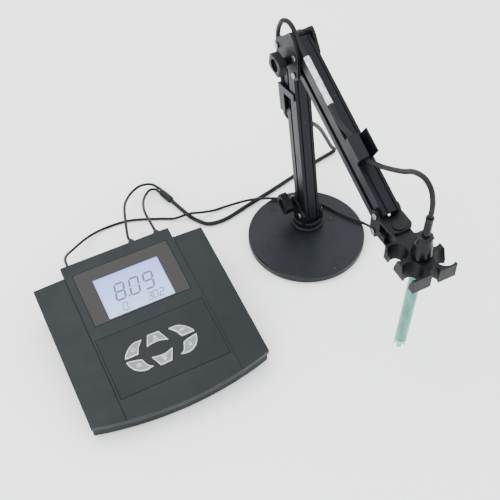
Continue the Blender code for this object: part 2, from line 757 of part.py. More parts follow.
def open_section(width, low, high, wall, open_low=True):
    """A U-shaped section across an arm, its open side at the low or the high edge."""
    half = width / 2
    inside = half - wall
    if open_low:
        return [
            (-half, low), (-half, high), (half, high), (half, low),
            (inside, low), (inside, high - wall), (-inside, high - wall), (-inside, low),
        ]
    return [
        (-half, high), (-inside, high), (-inside, low + wall), (inside, low + wall),
        (inside, high), (half, high), (half, low), (-half, low),
    ]


def bar(name, outline, start, end, holes, body, colour="anodised"):
    """An arm along its frame's Z from start to end, with a pivot hole across it at each place."""
    made = plate(name, outline, start, end, parent=body, colour=colour)
    for at in holes:
        cut(made, rod(
            name + "_hole", PIVOT_RADIUS + BORE_PLAY, -CHANNEL_WIDTH, CHANNEL_WIDTH, (0, at), "X", body, sides=16
        ))
    return made


def make_lower_arm(front, back):
    half = CHANNEL_WIDTH / 2
    deep = LOWER_CHANNEL_DEPTH / 2
    groove = half - RAIL_WIDTH
    in_groove = groove - GROOVE_WIDTH
    wall = CHANNEL_WALL + GROOVE_DEPTH
    inside = half - CHANNEL_WALL
    face = -deep
    section = [
        (-half, deep), (-inside, deep), (-inside, face + wall), (inside, face + wall), (inside, deep),
        (half, deep), (half, face), (groove, face), (groove, face + GROOVE_DEPTH),
        (in_groove, face + GROOVE_DEPTH), (in_groove, face), (-in_groove, face),
        (-in_groove, face + GROOVE_DEPTH), (-groove, face + GROOVE_DEPTH), (-groove, face), (-half, face),
    ]
    bar("lower_channel", section, -deep, LOWER_ARM_LENGTH + LOWER_CHANNEL_PAST, (0, LOWER_ARM_LENGTH), front)
    deep = BACK_BAR_DEPTH / 2
    section = open_section(BAR_WIDTH, -deep, deep, BAR_WALL)
    bar("lower_back_bar", section, -BAR_PAST, LOWER_ARM_LENGTH + BAR_PAST, (0, LOWER_ARM_LENGTH), back)


def make_elbow(body):
    def seen(y, z):
        return (y - ELBOW_FRONT.y, z - ELBOW_FRONT.z)

    back = (ELBOW_BACK.y, ELBOW_BACK.z)
    root = (UPPER_ROOT.y, UPPER_ROOT.z)
    tie = (TIE_ROOT.y, TIE_ROOT.z)
    corners = [
        seen(back[0] + 6.7 * MM, back[1]), seen(back[0] - 1 * MM, back[1] - 6 * MM),
        (8 * MM, -5.5 * MM), (3 * MM, -7 * MM), (-4 * MM, -7 * MM),
        seen(tie[0] - 1 * MM, tie[1] - 6 * MM), seen(tie[0] - 6.5 * MM, tie[1] - 2 * MM),
        seen(root[0] - 6.5 * MM, root[1] + 4 * MM), seen(root[0] + 3.9 * MM, root[1] + 18 * MM),
        seen(root[0] + 10.5 * MM, root[1] + 23.4 * MM), seen(back[0] - 8.3 * MM, back[1] + 15.7 * MM),
        seen(back[0] - 0.6 * MM, back[1] + 11.2 * MM),
    ]
    made = plate("elbow_bracket", rounded(corners, 4 * MM), -EAR_OUT, EAR_OUT, "X", body, "black")
    top = Vector(corners[9])
    end = Vector(corners[10])
    along = (end - top).normalized()
    down = Vector((along.y, -along.x))
    far = LOWER_ARM_LENGTH
    above = [
        top + down * WEB_DEPTH - along * far, top + down * WEB_DEPTH + along * far,
        top - down * far + along * far, top - down * far - along * far,
    ]
    deep = WEB_DEPTH + WEB_THICK
    below = [
        top + down * deep - along * far, top + down * deep + along * far,
        top + down * far + along * far, top + down * far - along * far,
    ]
    half = EAR_GAP / 2
    first = top + along * WEB_INSET
    last = end + along * GAP
    before = [
        first + down * far, first - down * far, first - along * far - down * far, first - along * far + down * far,
    ]
    after = [
        last + down * far, last - down * far, last + along * far - down * far, last + along * far + down * far,
    ]
    sides = (("elbow_above", above), ("elbow_below", below), ("elbow_before", before), ("elbow_after", after))
    for name, shape in sides:
        cut(made, plate(name, [tuple(p) for p in shape], -half, half, "X", body))
    for pivot in (ELBOW_FRONT, ELBOW_BACK, UPPER_ROOT, TIE_ROOT):
        at = (pivot.y - ELBOW_FRONT.y, pivot.z - ELBOW_FRONT.z)
        cut(made, rod("elbow_hole", PIVOT_RADIUS + BORE_PLAY, -EAR_OUT * 2, EAR_OUT * 2, at, "X", body))


def make_upper_arm(top_body, tie_body):
    half = CHANNEL_WIDTH / 2
    top = UPPER_CHANNEL_TOP
    low = -UPPER_CHANNEL_BOTTOM
    inside = half - CHANNEL_WALL
    ceiling = top - LEAD_STEP_DEPTH - CHANNEL_WALL
    groove = half - RAIL_WIDTH
    step = -half + LEAD_STEP_WIDTH
    section = [
        (low, -half), (top - LEAD_STEP_DEPTH, -half), (top - LEAD_STEP_DEPTH, step), (top, step),
        (top, groove - GROOVE_WIDTH), (top - GROOVE_DEPTH, groove - GROOVE_WIDTH),
        (top - GROOVE_DEPTH, groove), (top, groove), (top, half), (low, half),
        (low, inside), (ceiling, inside), (ceiling, -inside), (low, -inside),
    ]
    front = -UPPER_ARM_LENGTH - UPPER_CHANNEL_FRONT
    made = plate("upper_channel", section, front, UPPER_CHANNEL_REAR, "Y", top_body, "anodised")
    deep = TIE_BAR_DEPTH / 2
    outline = open_section(BAR_WIDTH, -deep, deep, BAR_WALL)
    section = [(b, a) for a, b in outline]
    tie = plate(
        "upper_tie_bar", section, -UPPER_ARM_LENGTH - BAR_PAST, BAR_PAST, "Y", tie_body, "anodised"
    )
    for piece, body in ((made, top_body), (tie, tie_body)):
        for at in (0, -UPPER_ARM_LENGTH):
            cut(piece, rod(
                "upper_hole", PIVOT_RADIUS + BORE_PLAY, -CHANNEL_WIDTH, CHANNEL_WIDTH, (at, 0), "X", body,
                sides=16,
            ))


def make_bolts(bodies):
    """The pivot bolts: a shank across the ears with a head at each end."""
    out = EAR_OUT + GAP
    tip = out + BOLT_HEAD_THICK
    profile = [
        (0, tip), (BOLT_HEAD_RADIUS, tip), (BOLT_HEAD_RADIUS, out), (PIVOT_RADIUS, out),
        (PIVOT_RADIUS, -out), (BOLT_HEAD_RADIUS, -out), (BOLT_HEAD_RADIUS, -tip), (0, -tip),
    ]
    for name, body, at in bodies:
        turned(name, profile, "X", at, body, "steel", 16)


def make_knob(name, body, turn):
    """A clamping knob and its pin, turning about its frame's X."""
    face = -EAR_OUT - GAP
    inner = face - KNOB_NECK
    outer = inner - KNOB_THICK
    grip = plate(
        name, rounded(rectangle((-KNOB_LONG / 2, -KNOB_SHORT / 2), (KNOB_LONG / 2, KNOB_SHORT / 2)), 5 * MM, 4),
        outer, inner, "X", body, "black",
    )
    turned_by = Matrix.Rotation(turn, 4, "X")
    grip.matrix_local = turned_by
    neck = rod(name + "_neck", KNOB_NECK_RADIUS, inner - KNOB_THICK / 4, face, axis="X", parent=body)
    pin = rod(name + "_pin", PIVOT_RADIUS, inner - KNOB_THICK / 4, EAR_OUT, axis="X", parent=body, sides=16)
    recess = rod(name + "_recess", KNOB_RECESS_RADIUS, outer - KNOB_THICK, outer + KNOB_RECESS, axis="X", parent=body)
    cut(grip, neck, pin, operation="UNION")
    cut(grip, recess)


def make_wrist(body):
    top = COVER_TOP
    low = WRIST_LOW.z - WRIST_TOP.z - 6 * MM
    tongue_low = HOLDER_LOW - WRIST_TOP.z - GAP
    tongue_top = HOLDER_TOP - WRIST_TOP.z + GAP
    rear = 6.5 * MM
    side = rounded(
        [
            (rear, -6 * MM), (rear, 3 * MM), (0, 7 * MM), (-4 * MM, top), (-COVER_FRONT, top),
            (-COVER_FRONT, tongue_low - FLOOR_THICK), (-6 * MM, tongue_low - FLOOR_THICK), (-3 * MM, low),
            (3 * MM, low), (rear, low + 4 * MM),
        ],
        2.5 * MM,
    )
    made = plate("wrist_bracket", side, -EAR_OUT, EAR_OUT, "X", body, "black")
    half = EAR_GAP / 2
    rear_room = block("arm_room", (-half, -COVER_REAR, low * 2), (half, rear * 3, UPPER_SPREAD), body)
    tongue_room = block(
        "tongue_room", (-half, -COVER_FRONT * 2, tongue_low), (half, 0, tongue_top), body
    )
    windows = block(
        "cheek_window", (-EAR_OUT * 2, -COVER_FRONT * 2, -CHEEK_LOW_TOP),
        (EAR_OUT * 2, -COVER_REAR - WEB_THICK, tongue_top), body,
    )
    cheek_front = block(
        "cheek_front", (-EAR_OUT * 2, -COVER_FRONT * 2, low * 2),
        (EAR_OUT * 2, -SWIVEL_FORWARD - CHEEK_FRONT, tongue_top), body,
    )
    swing = block(
        "tongue_swing", (-EAR_OUT * 2, -COVER_FRONT * 2, tongue_low),
        (EAR_OUT * 2, -SWIVEL_FORWARD + TONGUE_SWING, tongue_top), body,
    )
    cut(made, rear_room, tongue_room, windows, cheek_front, swing)
    corner = COVER_CORNER
    for side_sign in (-1, 1):
        middle = (side_sign * (EAR_OUT - corner), -COVER_FRONT + corner)
        reach = corner * 3
        outline = [
            (side_sign * (EAR_OUT - corner), -COVER_FRONT - reach),
            (side_sign * (EAR_OUT + reach), -COVER_FRONT - reach),
            (side_sign * (EAR_OUT + reach), -COVER_FRONT + corner),
        ]
        start, end = (0, -90) if side_sign > 0 else (180, 270)
        outline += arc(middle, corner, start, end, 6)
        cut(made, plate("cover_corner", outline, tongue_top - GAP, top * 2, parent=body))
    cut(made, rod("swivel_hole", SWIVEL_RADIUS + BORE_PLAY, low * 2, top * 3, (0, -SWIVEL_FORWARD), parent=body))
    for at in ((0, 0), (0, WRIST_LOW.z - WRIST_TOP.z)):
        cut(made, rod("wrist_hole", PIVOT_RADIUS + BORE_PLAY, -EAR_OUT * 2, EAR_OUT * 2, at, "X", body))
    head = top + GAP
    foot = tongue_low - FLOOR_THICK
    turned(
        "swivel_pin",
        [
            (0, head + SWIVEL_HEAD_THICK), (SWIVEL_HEAD_RADIUS, head + SWIVEL_HEAD_THICK),
            (SWIVEL_HEAD_RADIUS, head), (SWIVEL_RADIUS, head), (SWIVEL_RADIUS, foot), (0, foot),
        ],
        "Z", (0, -SWIVEL_FORWARD), body, "black", 24,
    )


def make_holder(body):
    """The electrode holder: a block with a through hole in the middle, four side clips and a notch."""
    half = HOLDER_WIDTH / 2
    back = -HOLDER_BACK
    front = back - HOLDER_DEPTH
    outline = [(-half, back), (-half, front), (half, front), (half, back), (TONGUE_RADIUS, back)]
    outline += arc((0, 0), TONGUE_RADIUS, 0, 180, 10)
    outline += [(-TONGUE_RADIUS, back)]
    made = plate("holder_block", outline, -HOLDER_HEIGHT, 0, parent=body, colour="black")
    deep = HOLDER_HEIGHT + GAP
    middle = back - HOLDER_DEPTH / 2
    tools = [
        rod("swivel_bore", SWIVEL_RADIUS + BORE_PLAY, -deep, GAP, parent=body, sides=22),
        rod("electrode_hole", ELECTRODE_RADIUS + ELECTRODE_PLAY, -deep, GAP, (0, middle), parent=body, sides=32),
        rod("front_notch", NOTCH_RADIUS, -deep, GAP, (0, front + NOTCH_INSET), parent=body),
    ]
    for x in (-CLIP_X, CLIP_X):
        for y in (-CLIP_Y, CLIP_Y):
            at = (x, middle + y)
            tools.append(rod(
                "clip_hole", CLIP_LOW_RADIUS, -deep, GAP, at, parent=body, sides=32, top=CLIP_TOP_RADIUS
            ))
            side = 1 if x > 0 else -1
            near, far = sorted((x + side * CLIP_LOW_RADIUS / 3, side * half * 2))
            tools.append(block(
                "clip_mouth", (near, at[1] - CLIP_MOUTH / 2, -deep * 2), (far, at[1] + CLIP_MOUTH / 2, deep), body
            ))
    cut(made, *tools)


def make_electrode(body):
    """The electrode along its frame's Z, from the holder's top face: cap, boot, tube, guard and bulb."""
    lift = CAP_LIFT
    socket = ELECTRODE_RADIUS + GAP
    lip = CAP_NECK_RADIUS + 0.9 * MM
    profile = [
        (BOOT_RADIUS - 1.2 * MM, CAP_HEIGHT), (CAP_NECK_RADIUS, CAP_HEIGHT),
        (lip, CAP_HEIGHT - 1.5 * MM), (CAP_NECK_RADIUS + 0.2 * MM, CAP_HEIGHT - 3 * MM),
        (CAP_RADIUS - 1.6 * MM, CAP_HEIGHT * 0.62), (CAP_RADIUS, lift + 4 * MM), (CAP_RADIUS, lift),
        (socket, lift), (socket, lift + CAP_SOCKET), (BOOT_RADIUS - 1.2 * MM, lift + CAP_SOCKET),
    ]
    turned("electrode_cap", profile, parent=body, colour="black", sides=28, closed=True)
    turned(
        "strain_relief",
        [
            (0, BOOT_TOP), (BOOT_RADIUS - 0.5 * MM, BOOT_TOP), (BOOT_RADIUS, BOOT_TOP - 1 * MM),
            (BOOT_RADIUS, CAP_HEIGHT + GAP), (0, CAP_HEIGHT + GAP),
        ],
        parent=body, colour="rubber", sides=20,
    )
    tip = lift - ELECTRODE_REACH
    guard_top = tip + GUARD_LENGTH
    top = lift + CAP_SOCKET - GAP
    turned(
        "electrode_body",
        [
            (ELECTRODE_BORE, top), (ELECTRODE_RADIUS, top), (ELECTRODE_RADIUS, guard_top + GAP),
            (ELECTRODE_BORE, guard_top + GAP),
        ],
        parent=body, colour="teal", sides=28, closed=True,
    )
    guard = turned(
        "bulb_guard",
        [
            (ELECTRODE_BORE, guard_top), (ELECTRODE_RADIUS, guard_top),
            (ELECTRODE_RADIUS, tip), (ELECTRODE_BORE, tip),
        ],
        parent=body, colour="guard", sides=28, closed=True,
    )
    slot = STEM_RADIUS
    for low, high in (((-1, -slot), (1, slot)), ((-slot, -1), (slot, 1))):
        reach_low = [v * ELECTRODE_RADIUS * 2 if abs(v) == 1 else v for v in low]
        reach_high = [v * ELECTRODE_RADIUS * 2 if abs(v) == 1 else v for v in high]
        cut(guard, block(
            "guard_slot", (*reach_low, tip - GUARD_LENGTH), (*reach_high, tip + GUARD_LENGTH * 0.55), body
        ))
    centre = tip + BULB_RADIUS + 1.2 * MM
    start = acos(STEM_RADIUS / BULB_RADIUS)
    ball = []
    for i in range(9):
        angle = start - (start + pi / 2) * i / 8
        ball.append((BULB_RADIUS * cos(angle) if i < 8 else 0, centre + BULB_RADIUS * sin(angle)))
    turned(
        "sensing_bulb", [(0, top - 1 * MM), (STEM_RADIUS, top - 1 * MM), *ball],
        parent=body, colour="glass", sides=20,
    )


# ---------------------------------------------------------------- lead, clips and cables

def on_upper_arm(x, along, up):
    """A place near the upper arm: x from its middle, along it from its rear pivot, and up from it."""
    across = Vector((0, -sin(UPPER_ARM_SLOPE), cos(UPPER_ARM_SLOPE)))
    return UPPER_ROOT - UPPER_DIRECTION * along + across * up + Vector((x, 0, 0))


def on_lower_arm(x, along, behind):
    """A place near the lower arm: x from its middle, along it from its front pivot, and behind it."""
    across = Vector((0, cos(LOWER_ARM_LEAN), -sin(LOWER_ARM_LEAN)))
    return BASE_FRONT + LOWER_DIRECTION * along + across * behind + Vector((x, 0, 0))


def at_elbow(x, y, z):
    """A place measured from the elbow's back pivot."""
    return ELBOW_BACK + Vector((x * MM, y * MM, z * MM))


def above_electrode(x, y, z):
    """A place measured from the top of the electrode's strain relief."""
    lean = Vector((sin(ELECTRODE_LEAN), 0, cos(ELECTRODE_LEAN)))
    return HOLDER_CENTRE + lean * BOOT_TOP + Vector((x * MM, y * MM, z * MM))


def table(*points):
    return [Vector((x * MM, y * MM, z * MM)) for x, y, z in points]


def lead_runs():
    """The electrode lead as runs of route points, each ending where the next one starts."""
    lane = -CHANNEL_WIDTH / 2 + LEAD_STEP_WIDTH / 2 - 0.2 * MM
    floor = UPPER_CHANNEL_TOP - LEAD_STEP_DEPTH + LEAD_RADIUS + GAP
    in_clip = UPPER_CHANNEL_TOP + GAP + CLIP_SHEET + GAP * 4 + LEAD_RADIUS
    behind = LEAD_BEHIND
    clip_low = LOWER_CLIP_START
    clip_high = LOWER_CLIP_START + LOWER_CLIP_LENGTH
    return {
        "lead_electrode": [
            above_electrode(0.0, 0, 0.3), above_electrode(0.2, 0, 10), above_electrode(-0.5, 0.8, 21),
        ],
        "lead_holder": [
            above_electrode(-1.2, 5, 31), above_electrode(-2, 14.5, 35.3), above_electrode(-2, 28.5, 29.5),
        ],
        "lead_wrist": [
            above_electrode(-2, 41.5, 18.5), above_electrode(-2, 58.5, 6.5), above_electrode(-2.3, 76, -4),
            on_upper_arm(-1.6 * MM, UPPER_CLIP_START, in_clip),
        ],
        "lead_upper_arm": [
            on_upper_arm(-3.4 * MM, UPPER_CLIP_START + UPPER_CLIP_LENGTH / 2, in_clip),
            on_upper_arm(-5.2 * MM, UPPER_CLIP_START + UPPER_CLIP_LENGTH, in_clip),
            on_upper_arm(-6.0 * MM, UPPER_CLIP_START + UPPER_CLIP_LENGTH + 7 * MM, in_clip - 1.4 * MM),
            on_upper_arm(lane, UPPER_CLIP_START + UPPER_CLIP_LENGTH + 16 * MM, floor),
            on_upper_arm(lane, -60 * MM, floor), on_upper_arm(lane, -30 * MM, floor),
            on_upper_arm(lane, 0, floor), on_upper_arm(lane, 10 * MM, floor + 1 * MM),
            at_elbow(-6.5, -20.5, 31), at_elbow(-8, -13.5, 34.4), at_elbow(-9.8, -6.5, 32),
        ],
        "lead_elbow": [
            at_elbow(-9.2, 0, 24.2), at_elbow(-8, 6, 13.5), at_elbow(-7, 9, 2),
            at_elbow(-7, 8, -12), on_lower_arm(-6.2 * MM, clip_high, behind),
            on_lower_arm(-6.2 * MM, (clip_low + clip_high) / 2, behind),
        ],
        "lead_post": [
            on_lower_arm(-6.2 * MM, clip_low, behind), *table((6, 61.5, 137), (15, 63, 122), (30, 69, 110)),
            *table((43, 73.5, 99.5)),
        ],
        "lead_table": table(
            (55, 80, 85), (66, 87, 68), (76, 94, 49), (85, 100, 31), (93, 104, 15), (99, 106, 6),
            (95, 106, 2.8), (72, 101.5, 2.7), (31, 91, 2.7), (-5, 82, 2.7), (-36, 75, 2.7), (-68, 67.5, 2.7),
            (-88, 69, 2.7), (-97, 77, 2.7), (-105, 92, 3.0), tuple(SPLITTER_START),
        ),
    }


def make_lead():
    """The lead is one smooth curve, parted where it passes from one moving body to the next."""
    runs = lead_runs()
    whole = [point for run in runs.values() for point in run]
    ends = [whole[0] * 2 - whole[1], *whole, whole[-1] * 2 - whole[-2]]
    headings = [(after - before).normalized() for before, after in zip(ends, ends[2:])]
    first = 0
    for name, run in runs.items():
        last = min(first + len(run), len(whole) - 1)
        start, end = headings[first], headings[last]
        route = smooth_route(whole[first:last + 1], LEAD_SPACING, start, end)
        route[0] = route[0] + start * GAP
        route[-1] = route[-1] - end * GAP
        route.insert(1, route[0] + start * LEAD_RADIUS / 2)
        route.insert(-1, route[-1] - end * LEAD_RADIUS / 2)
        cable(name, route, LEAD_RADIUS)
        first = last


def make_cables():
    start = SPLITTER_START * MM
    heading = (SPLITTER_AIM * MM - start).normalized()
    turn = heading.to_track_quat("Z", "Y").to_matrix().to_4x4()
    holder = frame("splitter_frame", start + heading * GAP, turn)
    turned(
        "lead_splitter",
        [
            (0, SPLITTER_LENGTH), (SPLITTER_RADIUS * 0.8, SPLITTER_LENGTH),
            (SPLITTER_RADIUS, SPLITTER_LENGTH - 3 * MM), (SPLITTER_RADIUS, 3 * MM),
            (SPLITTER_RADIUS * 0.75, 0), (0, 0),
        ],
        parent=holder, colour="rubber", sides=16,
    )
    out = start + heading * (SPLITTER_LENGTH + GAP * 4)
    back = rear_y()
    face = back + SOCKET_LENGTH + GAP
    plug_end = face + PLUG_LENGTH
    for index, (name, side) in enumerate((("branch_outer", 1), ("branch_inner", -1))):
        x = METER_X + SOCKET_SPOTS[index]
        height = SOCKET_Z
        plug = turned(
            "plug_outer" if index == 0 else "plug_inner",
            [
                (0, face + PLUG_LENGTH), (PLUG_RADIUS * 0.6, face + PLUG_LENGTH),
                (PLUG_RADIUS, face + PLUG_LENGTH * 0.6), (PLUG_RADIUS, face), (0, face),
            ],
            "Y", (height, x), None, "rubber", 20,
        )
        begin = out + Vector((side * 2.1 * MM, 0, 0))
        if index == 0:
            middle = table((-126, 156, 7.5), (-138, 157, 10.5), (-151, 149, 15), (-164, 134, 21), (-174, 114, 28))
        else:
            middle = table((-130, 149, 6.5), (-138, 142, 9.5), (-146, 129, 15), (-152, 112, 23), (-156, 94, 31))
        goal = Vector((x, plug_end + GAP, height))
        route = [begin, begin + heading * SPLITTER_LENGTH / 4, *middle, goal + Vector((0, 8 * MM, 0)), goal]
        cable(name, smooth_route(route, 5 * BRANCH_RADIUS), BRANCH_RADIUS)
    gland_end = Vector((METER_X + GLAND_SPOT, back + SOCKET_LENGTH + GAP, GLAND_Z))
    supply = [
        gland_end, gland_end + Vector((0, 6 * MM, 0)),
        *table(
            (-258, 76, 28), (-243, 95, 17), (-220, 114, 6), (-196, 121, 2), (-168, 118, 2), (-136, 104, 2),
            (-122, 96, 3), (-106, 90, 8.6), (-92, 85, 8.6), (-76, 86, 3), (-60, 85, 3), (-36, 77, 8.6),
            (-21, 69, 11.6), (-7, 61, 12.5), (14, 47, 12.3), (35, 29, 12), (45, 10, 12), (54, -6, 12.3),
            (62, -18, 12.3), (70, -29, 9.5), (78, -39, 5.5), (87, -47, 4.6), (96, -52, 4.6),
        ),
    ]
    cable("supply_cable", smooth_route(supply, 8.5 * MM), SUPPLY_RADIUS)
    heading = (supply[-1] - supply[-2]).normalized()
    holder = frame(
        "supply_plug_frame", supply[-1] + heading * GAP, heading.to_track_quat("Z", "Y").to_matrix().to_4x4()
    )
    turned(
        "supply_plug",
        [
            (0, SUPPLY_PLUG_LENGTH), (SUPPLY_RADIUS * 1.8, SUPPLY_PLUG_LENGTH), (SUPPLY_RADIUS * 1.8, PLUG_LENGTH),
            (PLUG_RADIUS * 0.95, PLUG_LENGTH), (PLUG_RADIUS * 0.95, PLUG_LENGTH * 0.4),
            (PLUG_RADIUS * 0.6, 0), (0, 0),
        ],
        parent=holder, colour="rubber", sides=20,
    )


def make_clips(upper, lower):
    """The folded sheet clip on the upper arm, and the hook behind the lower arm."""
    seat = UPPER_CHANNEL_TOP + GAP
    sheet = CLIP_SHEET
    left = -CHANNEL_WIDTH / 2 - sheet
    eave = seat + CLIP_EAVE
    ridge = seat + CLIP_RIDGE
    flap = CLIP_FLAP_FOOT + CLIP_FLAP_LEAN
    outline = [
        (seat, left), (seat, CLIP_FLAP_FOOT + sheet), (seat + CLIP_FLAP, flap + sheet), (seat + CLIP_FLAP, flap),
        (seat + sheet, CLIP_FLAP_FOOT), (seat + sheet, left + sheet), (eave - sheet / 2, left + sheet),
        (ridge - sheet, CLIP_SLOT), (ridge, CLIP_SLOT), (eave, left),
    ]
    plate(
        "upper_clip", outline, UPPER_CLIP_START, UPPER_CLIP_START + UPPER_CLIP_LENGTH, "Y", upper, "anodised"
    )
    side = -CHANNEL_WIDTH / 2 - GAP
    reach = LOWER_CLIP_REACH
    rear = reach + sheet + GAP
    low = LOWER_CLIP_START
    high = LOWER_CLIP_START + LOWER_CLIP_LENGTH
    strap = high - LOWER_CLIP_STRAP
    front = -LOWER_CHANNEL_DEPTH / 3
    wall = [
        (front, strap), (front, high), (rear, high), (rear, low), (reach - LOWER_CLIP_WALL, low),
        (reach - LOWER_CLIP_WALL, strap),
    ]
    made = plate("lower_clip", wall, side - sheet, side, "X", lower, "anodised")
    back = block(
        "clip_back", (side - sheet / 2, reach, low + GAP), (side + LOWER_CLIP_BACK, reach + sheet, high - GAP), lower
    )
    cut(made, back, operation="UNION")


def make_stand():
    make_base()
    turret = frame("turret_body", (TURRET_X, TURRET_Y, 0))
    make_turret(turret)
    lean = Matrix.Rotation(-LOWER_ARM_LEAN, 4, "X")
    slope = Matrix.Rotation(UPPER_ARM_SLOPE, 4, "X")
    lower = frame("lower_arm_body", BASE_FRONT, lean)
    back = frame("back_bar_body", BASE_BACK, lean)
    elbow = frame("elbow_body", ELBOW_FRONT)
    upper = frame("upper_arm_body", UPPER_ROOT, slope)
    tie = frame("tie_bar_body", TIE_ROOT, slope)
    wrist = frame("wrist_body", WRIST_TOP)
    holder = frame("holder_body", (SWIVEL.x, SWIVEL.y, HOLDER_TOP))
    electrode = frame("electrode_axis", HOLDER_CENTRE, Matrix.Rotation(ELECTRODE_LEAN, 4, "Y"))
    base_knob = frame("base_knob_axis", BASE_BACK)
    elbow_knob = frame("elbow_knob_axis", ELBOW_FRONT)
    make_lower_arm(lower, back)
    make_elbow(elbow)
    make_upper_arm(upper, tie)
    make_wrist(wrist)
    make_holder(holder)
    make_electrode(electrode)
    make_knob("base_knob", base_knob, BASE_KNOB_TURN)
    make_knob("elbow_knob", elbow_knob, ELBOW_KNOB_TURN)
    make_bolts([
        ("base_bolt", turret, (BASE_FRONT.y - TURRET_Y, BASE_FRONT.z)),
        ("elbow_back_bolt", elbow, (ELBOW_BACK.y - ELBOW_FRONT.y, ELBOW_BACK.z - ELBOW_FRONT.z)),
        ("upper_root_bolt", elbow, (-ELBOW_REACH, ELBOW_RISE)),
        ("tie_root_bolt", elbow, (-ELBOW_REACH, ELBOW_RISE - UPPER_SPREAD)),
        ("wrist_top_bolt", wrist, (0, 0)),
        ("wrist_low_bolt", wrist, (0, WRIST_LOW.z - WRIST_TOP.z)),
    ])
    make_clips(upper, lower)


for old in list(bpy.data.objects):
    bpy.data.objects.remove(old)
parts = bpy.data.collections.new("ph_meter")
cutters = bpy.data.collections.new("cutters")
for collection in (parts, cutters):
    bpy.context.scene.collection.children.link(collection)
make_meter()
make_stand()
make_lead()
make_cables()
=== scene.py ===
"""The looks of a bench pH meter and its electrode stand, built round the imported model."""

from math import cos, pi, radians, sin, tan

import bmesh
import bpy
from mathutils import Matrix, Vector


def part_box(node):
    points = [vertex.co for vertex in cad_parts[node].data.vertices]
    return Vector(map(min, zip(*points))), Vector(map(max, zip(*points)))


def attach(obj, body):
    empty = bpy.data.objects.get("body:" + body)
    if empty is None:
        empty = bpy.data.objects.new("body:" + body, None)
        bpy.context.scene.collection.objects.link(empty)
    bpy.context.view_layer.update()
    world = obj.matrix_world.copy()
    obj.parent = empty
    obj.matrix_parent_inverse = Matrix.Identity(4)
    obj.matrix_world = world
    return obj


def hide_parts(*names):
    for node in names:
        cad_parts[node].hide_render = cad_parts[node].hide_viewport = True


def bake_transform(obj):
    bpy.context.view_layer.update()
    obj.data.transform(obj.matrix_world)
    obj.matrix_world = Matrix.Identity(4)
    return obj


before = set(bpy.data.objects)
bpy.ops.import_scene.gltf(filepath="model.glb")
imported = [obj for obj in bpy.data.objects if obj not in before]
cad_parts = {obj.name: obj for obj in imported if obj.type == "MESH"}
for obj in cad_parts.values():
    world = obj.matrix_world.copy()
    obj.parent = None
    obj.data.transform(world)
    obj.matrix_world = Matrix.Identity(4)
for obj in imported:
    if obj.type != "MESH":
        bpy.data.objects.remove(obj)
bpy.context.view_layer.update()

MM = 0.001
WELD = 1e-7
NODE_WELD = 2e-6
FLAT = radians(0.5)

# ---------------------------------------------------------------- sizes shared by the pieces

METER = Matrix.Translation(Vector((-209.3, 29.4, 52.0)) * MM) @ Matrix.Rotation(radians(9.78), 4, "X")
SEAM_X = 60.9 * MM
UPPER_DEPTH = 9.0 * MM
WING_FALL = tan(radians(3))
PANEL_TOP = 1.5 * MM
LENS_THICK = 1.0 * MM
LENS = (-52.4 * MM, -65.6 * MM, 52.4 * MM, -1.6 * MM)
LCD = (-36.0 * MM, -64.0 * MM, 36.0 * MM, -15.0 * MM)
KEYPAD = (-58.0 * MM, -148.0 * MM, 58.0 * MM, -80.8 * MM)
KEY_CENTRE = Vector((-1.8 * MM, -114.2 * MM))
KEY_TOP = 2.4 * MM
KEY_LOW = -2.2 * MM
KEY_PLAY = 0.5 * MM
KEY_RIM = 1.15 * MM
KEY_PRINT = 0.05 * MM

ARM_X = 10.0 * MM
LOWER_LEAN = radians(10.76)
UPPER_SLOPE = radians(24.87)
BASE_FRONT = Vector((ARM_X, 10.0 * MM, 29.5 * MM))
ELBOW_FRONT = BASE_FRONT + Vector((0, sin(LOWER_LEAN), cos(LOWER_LEAN))) * 192.9 * MM
ELBOW_BACK = ELBOW_FRONT + Vector((0, 19.0, 7.0)) * MM
UPPER_ROOT = ELBOW_FRONT + Vector((0, -16.5, 14.6)) * MM
LOWER_ARM = Matrix.Translation(BASE_FRONT) @ Matrix.Rotation(-LOWER_LEAN, 4, "X")
UPPER_ARM = Matrix.Translation(UPPER_ROOT) @ Matrix.Rotation(UPPER_SLOPE, 4, "X")
CHANNEL_HALF = 8.75 * MM
UPPER_TOP = 11.0 * MM

low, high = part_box("holder_block")
HOLDER_CENTRE = Vector((ARM_X, low.y + 23.6 * MM, high.z))
ELECTRODE_LEAN = radians(2.5)
ELECTRODE = Matrix.Translation(HOLDER_CENTRE) @ Matrix.Rotation(ELECTRODE_LEAN, 4, "Y")
BOOT_TOP = 48.0 * MM

LEAD_RADIUS = 2.4 * MM
BRANCH_RADIUS = 1.6 * MM
SUPPLY_RADIUS = 1.5 * MM
GAP = 0.3 * MM


# ---------------------------------------------------------------- camera, floor and lights

FLOOR_HALF = 6.0
LIT_POINT = (-0.08, -0.02, 0.05)


def make_camera():
    seen = bpy.data.cameras.new("camera")
    seen.lens = 62.53
    seen.sensor_width = 36
    camera = bpy.data.objects.new("camera", seen)
    bpy.context.scene.collection.objects.link(camera)
    right = Vector((0.89325, -0.44883, -0.02547))
    down = Vector((-0.35824, -0.67644, -0.64350))
    forward = Vector((0.27159, 0.58393, -0.76502))
    turn = Matrix((right, -down, -forward)).transposed().to_4x4()
    camera.matrix_world = Matrix.Translation(Vector((-331.80, -560.33, 752.45)) * MM) @ turn
    bpy.context.scene.camera = camera


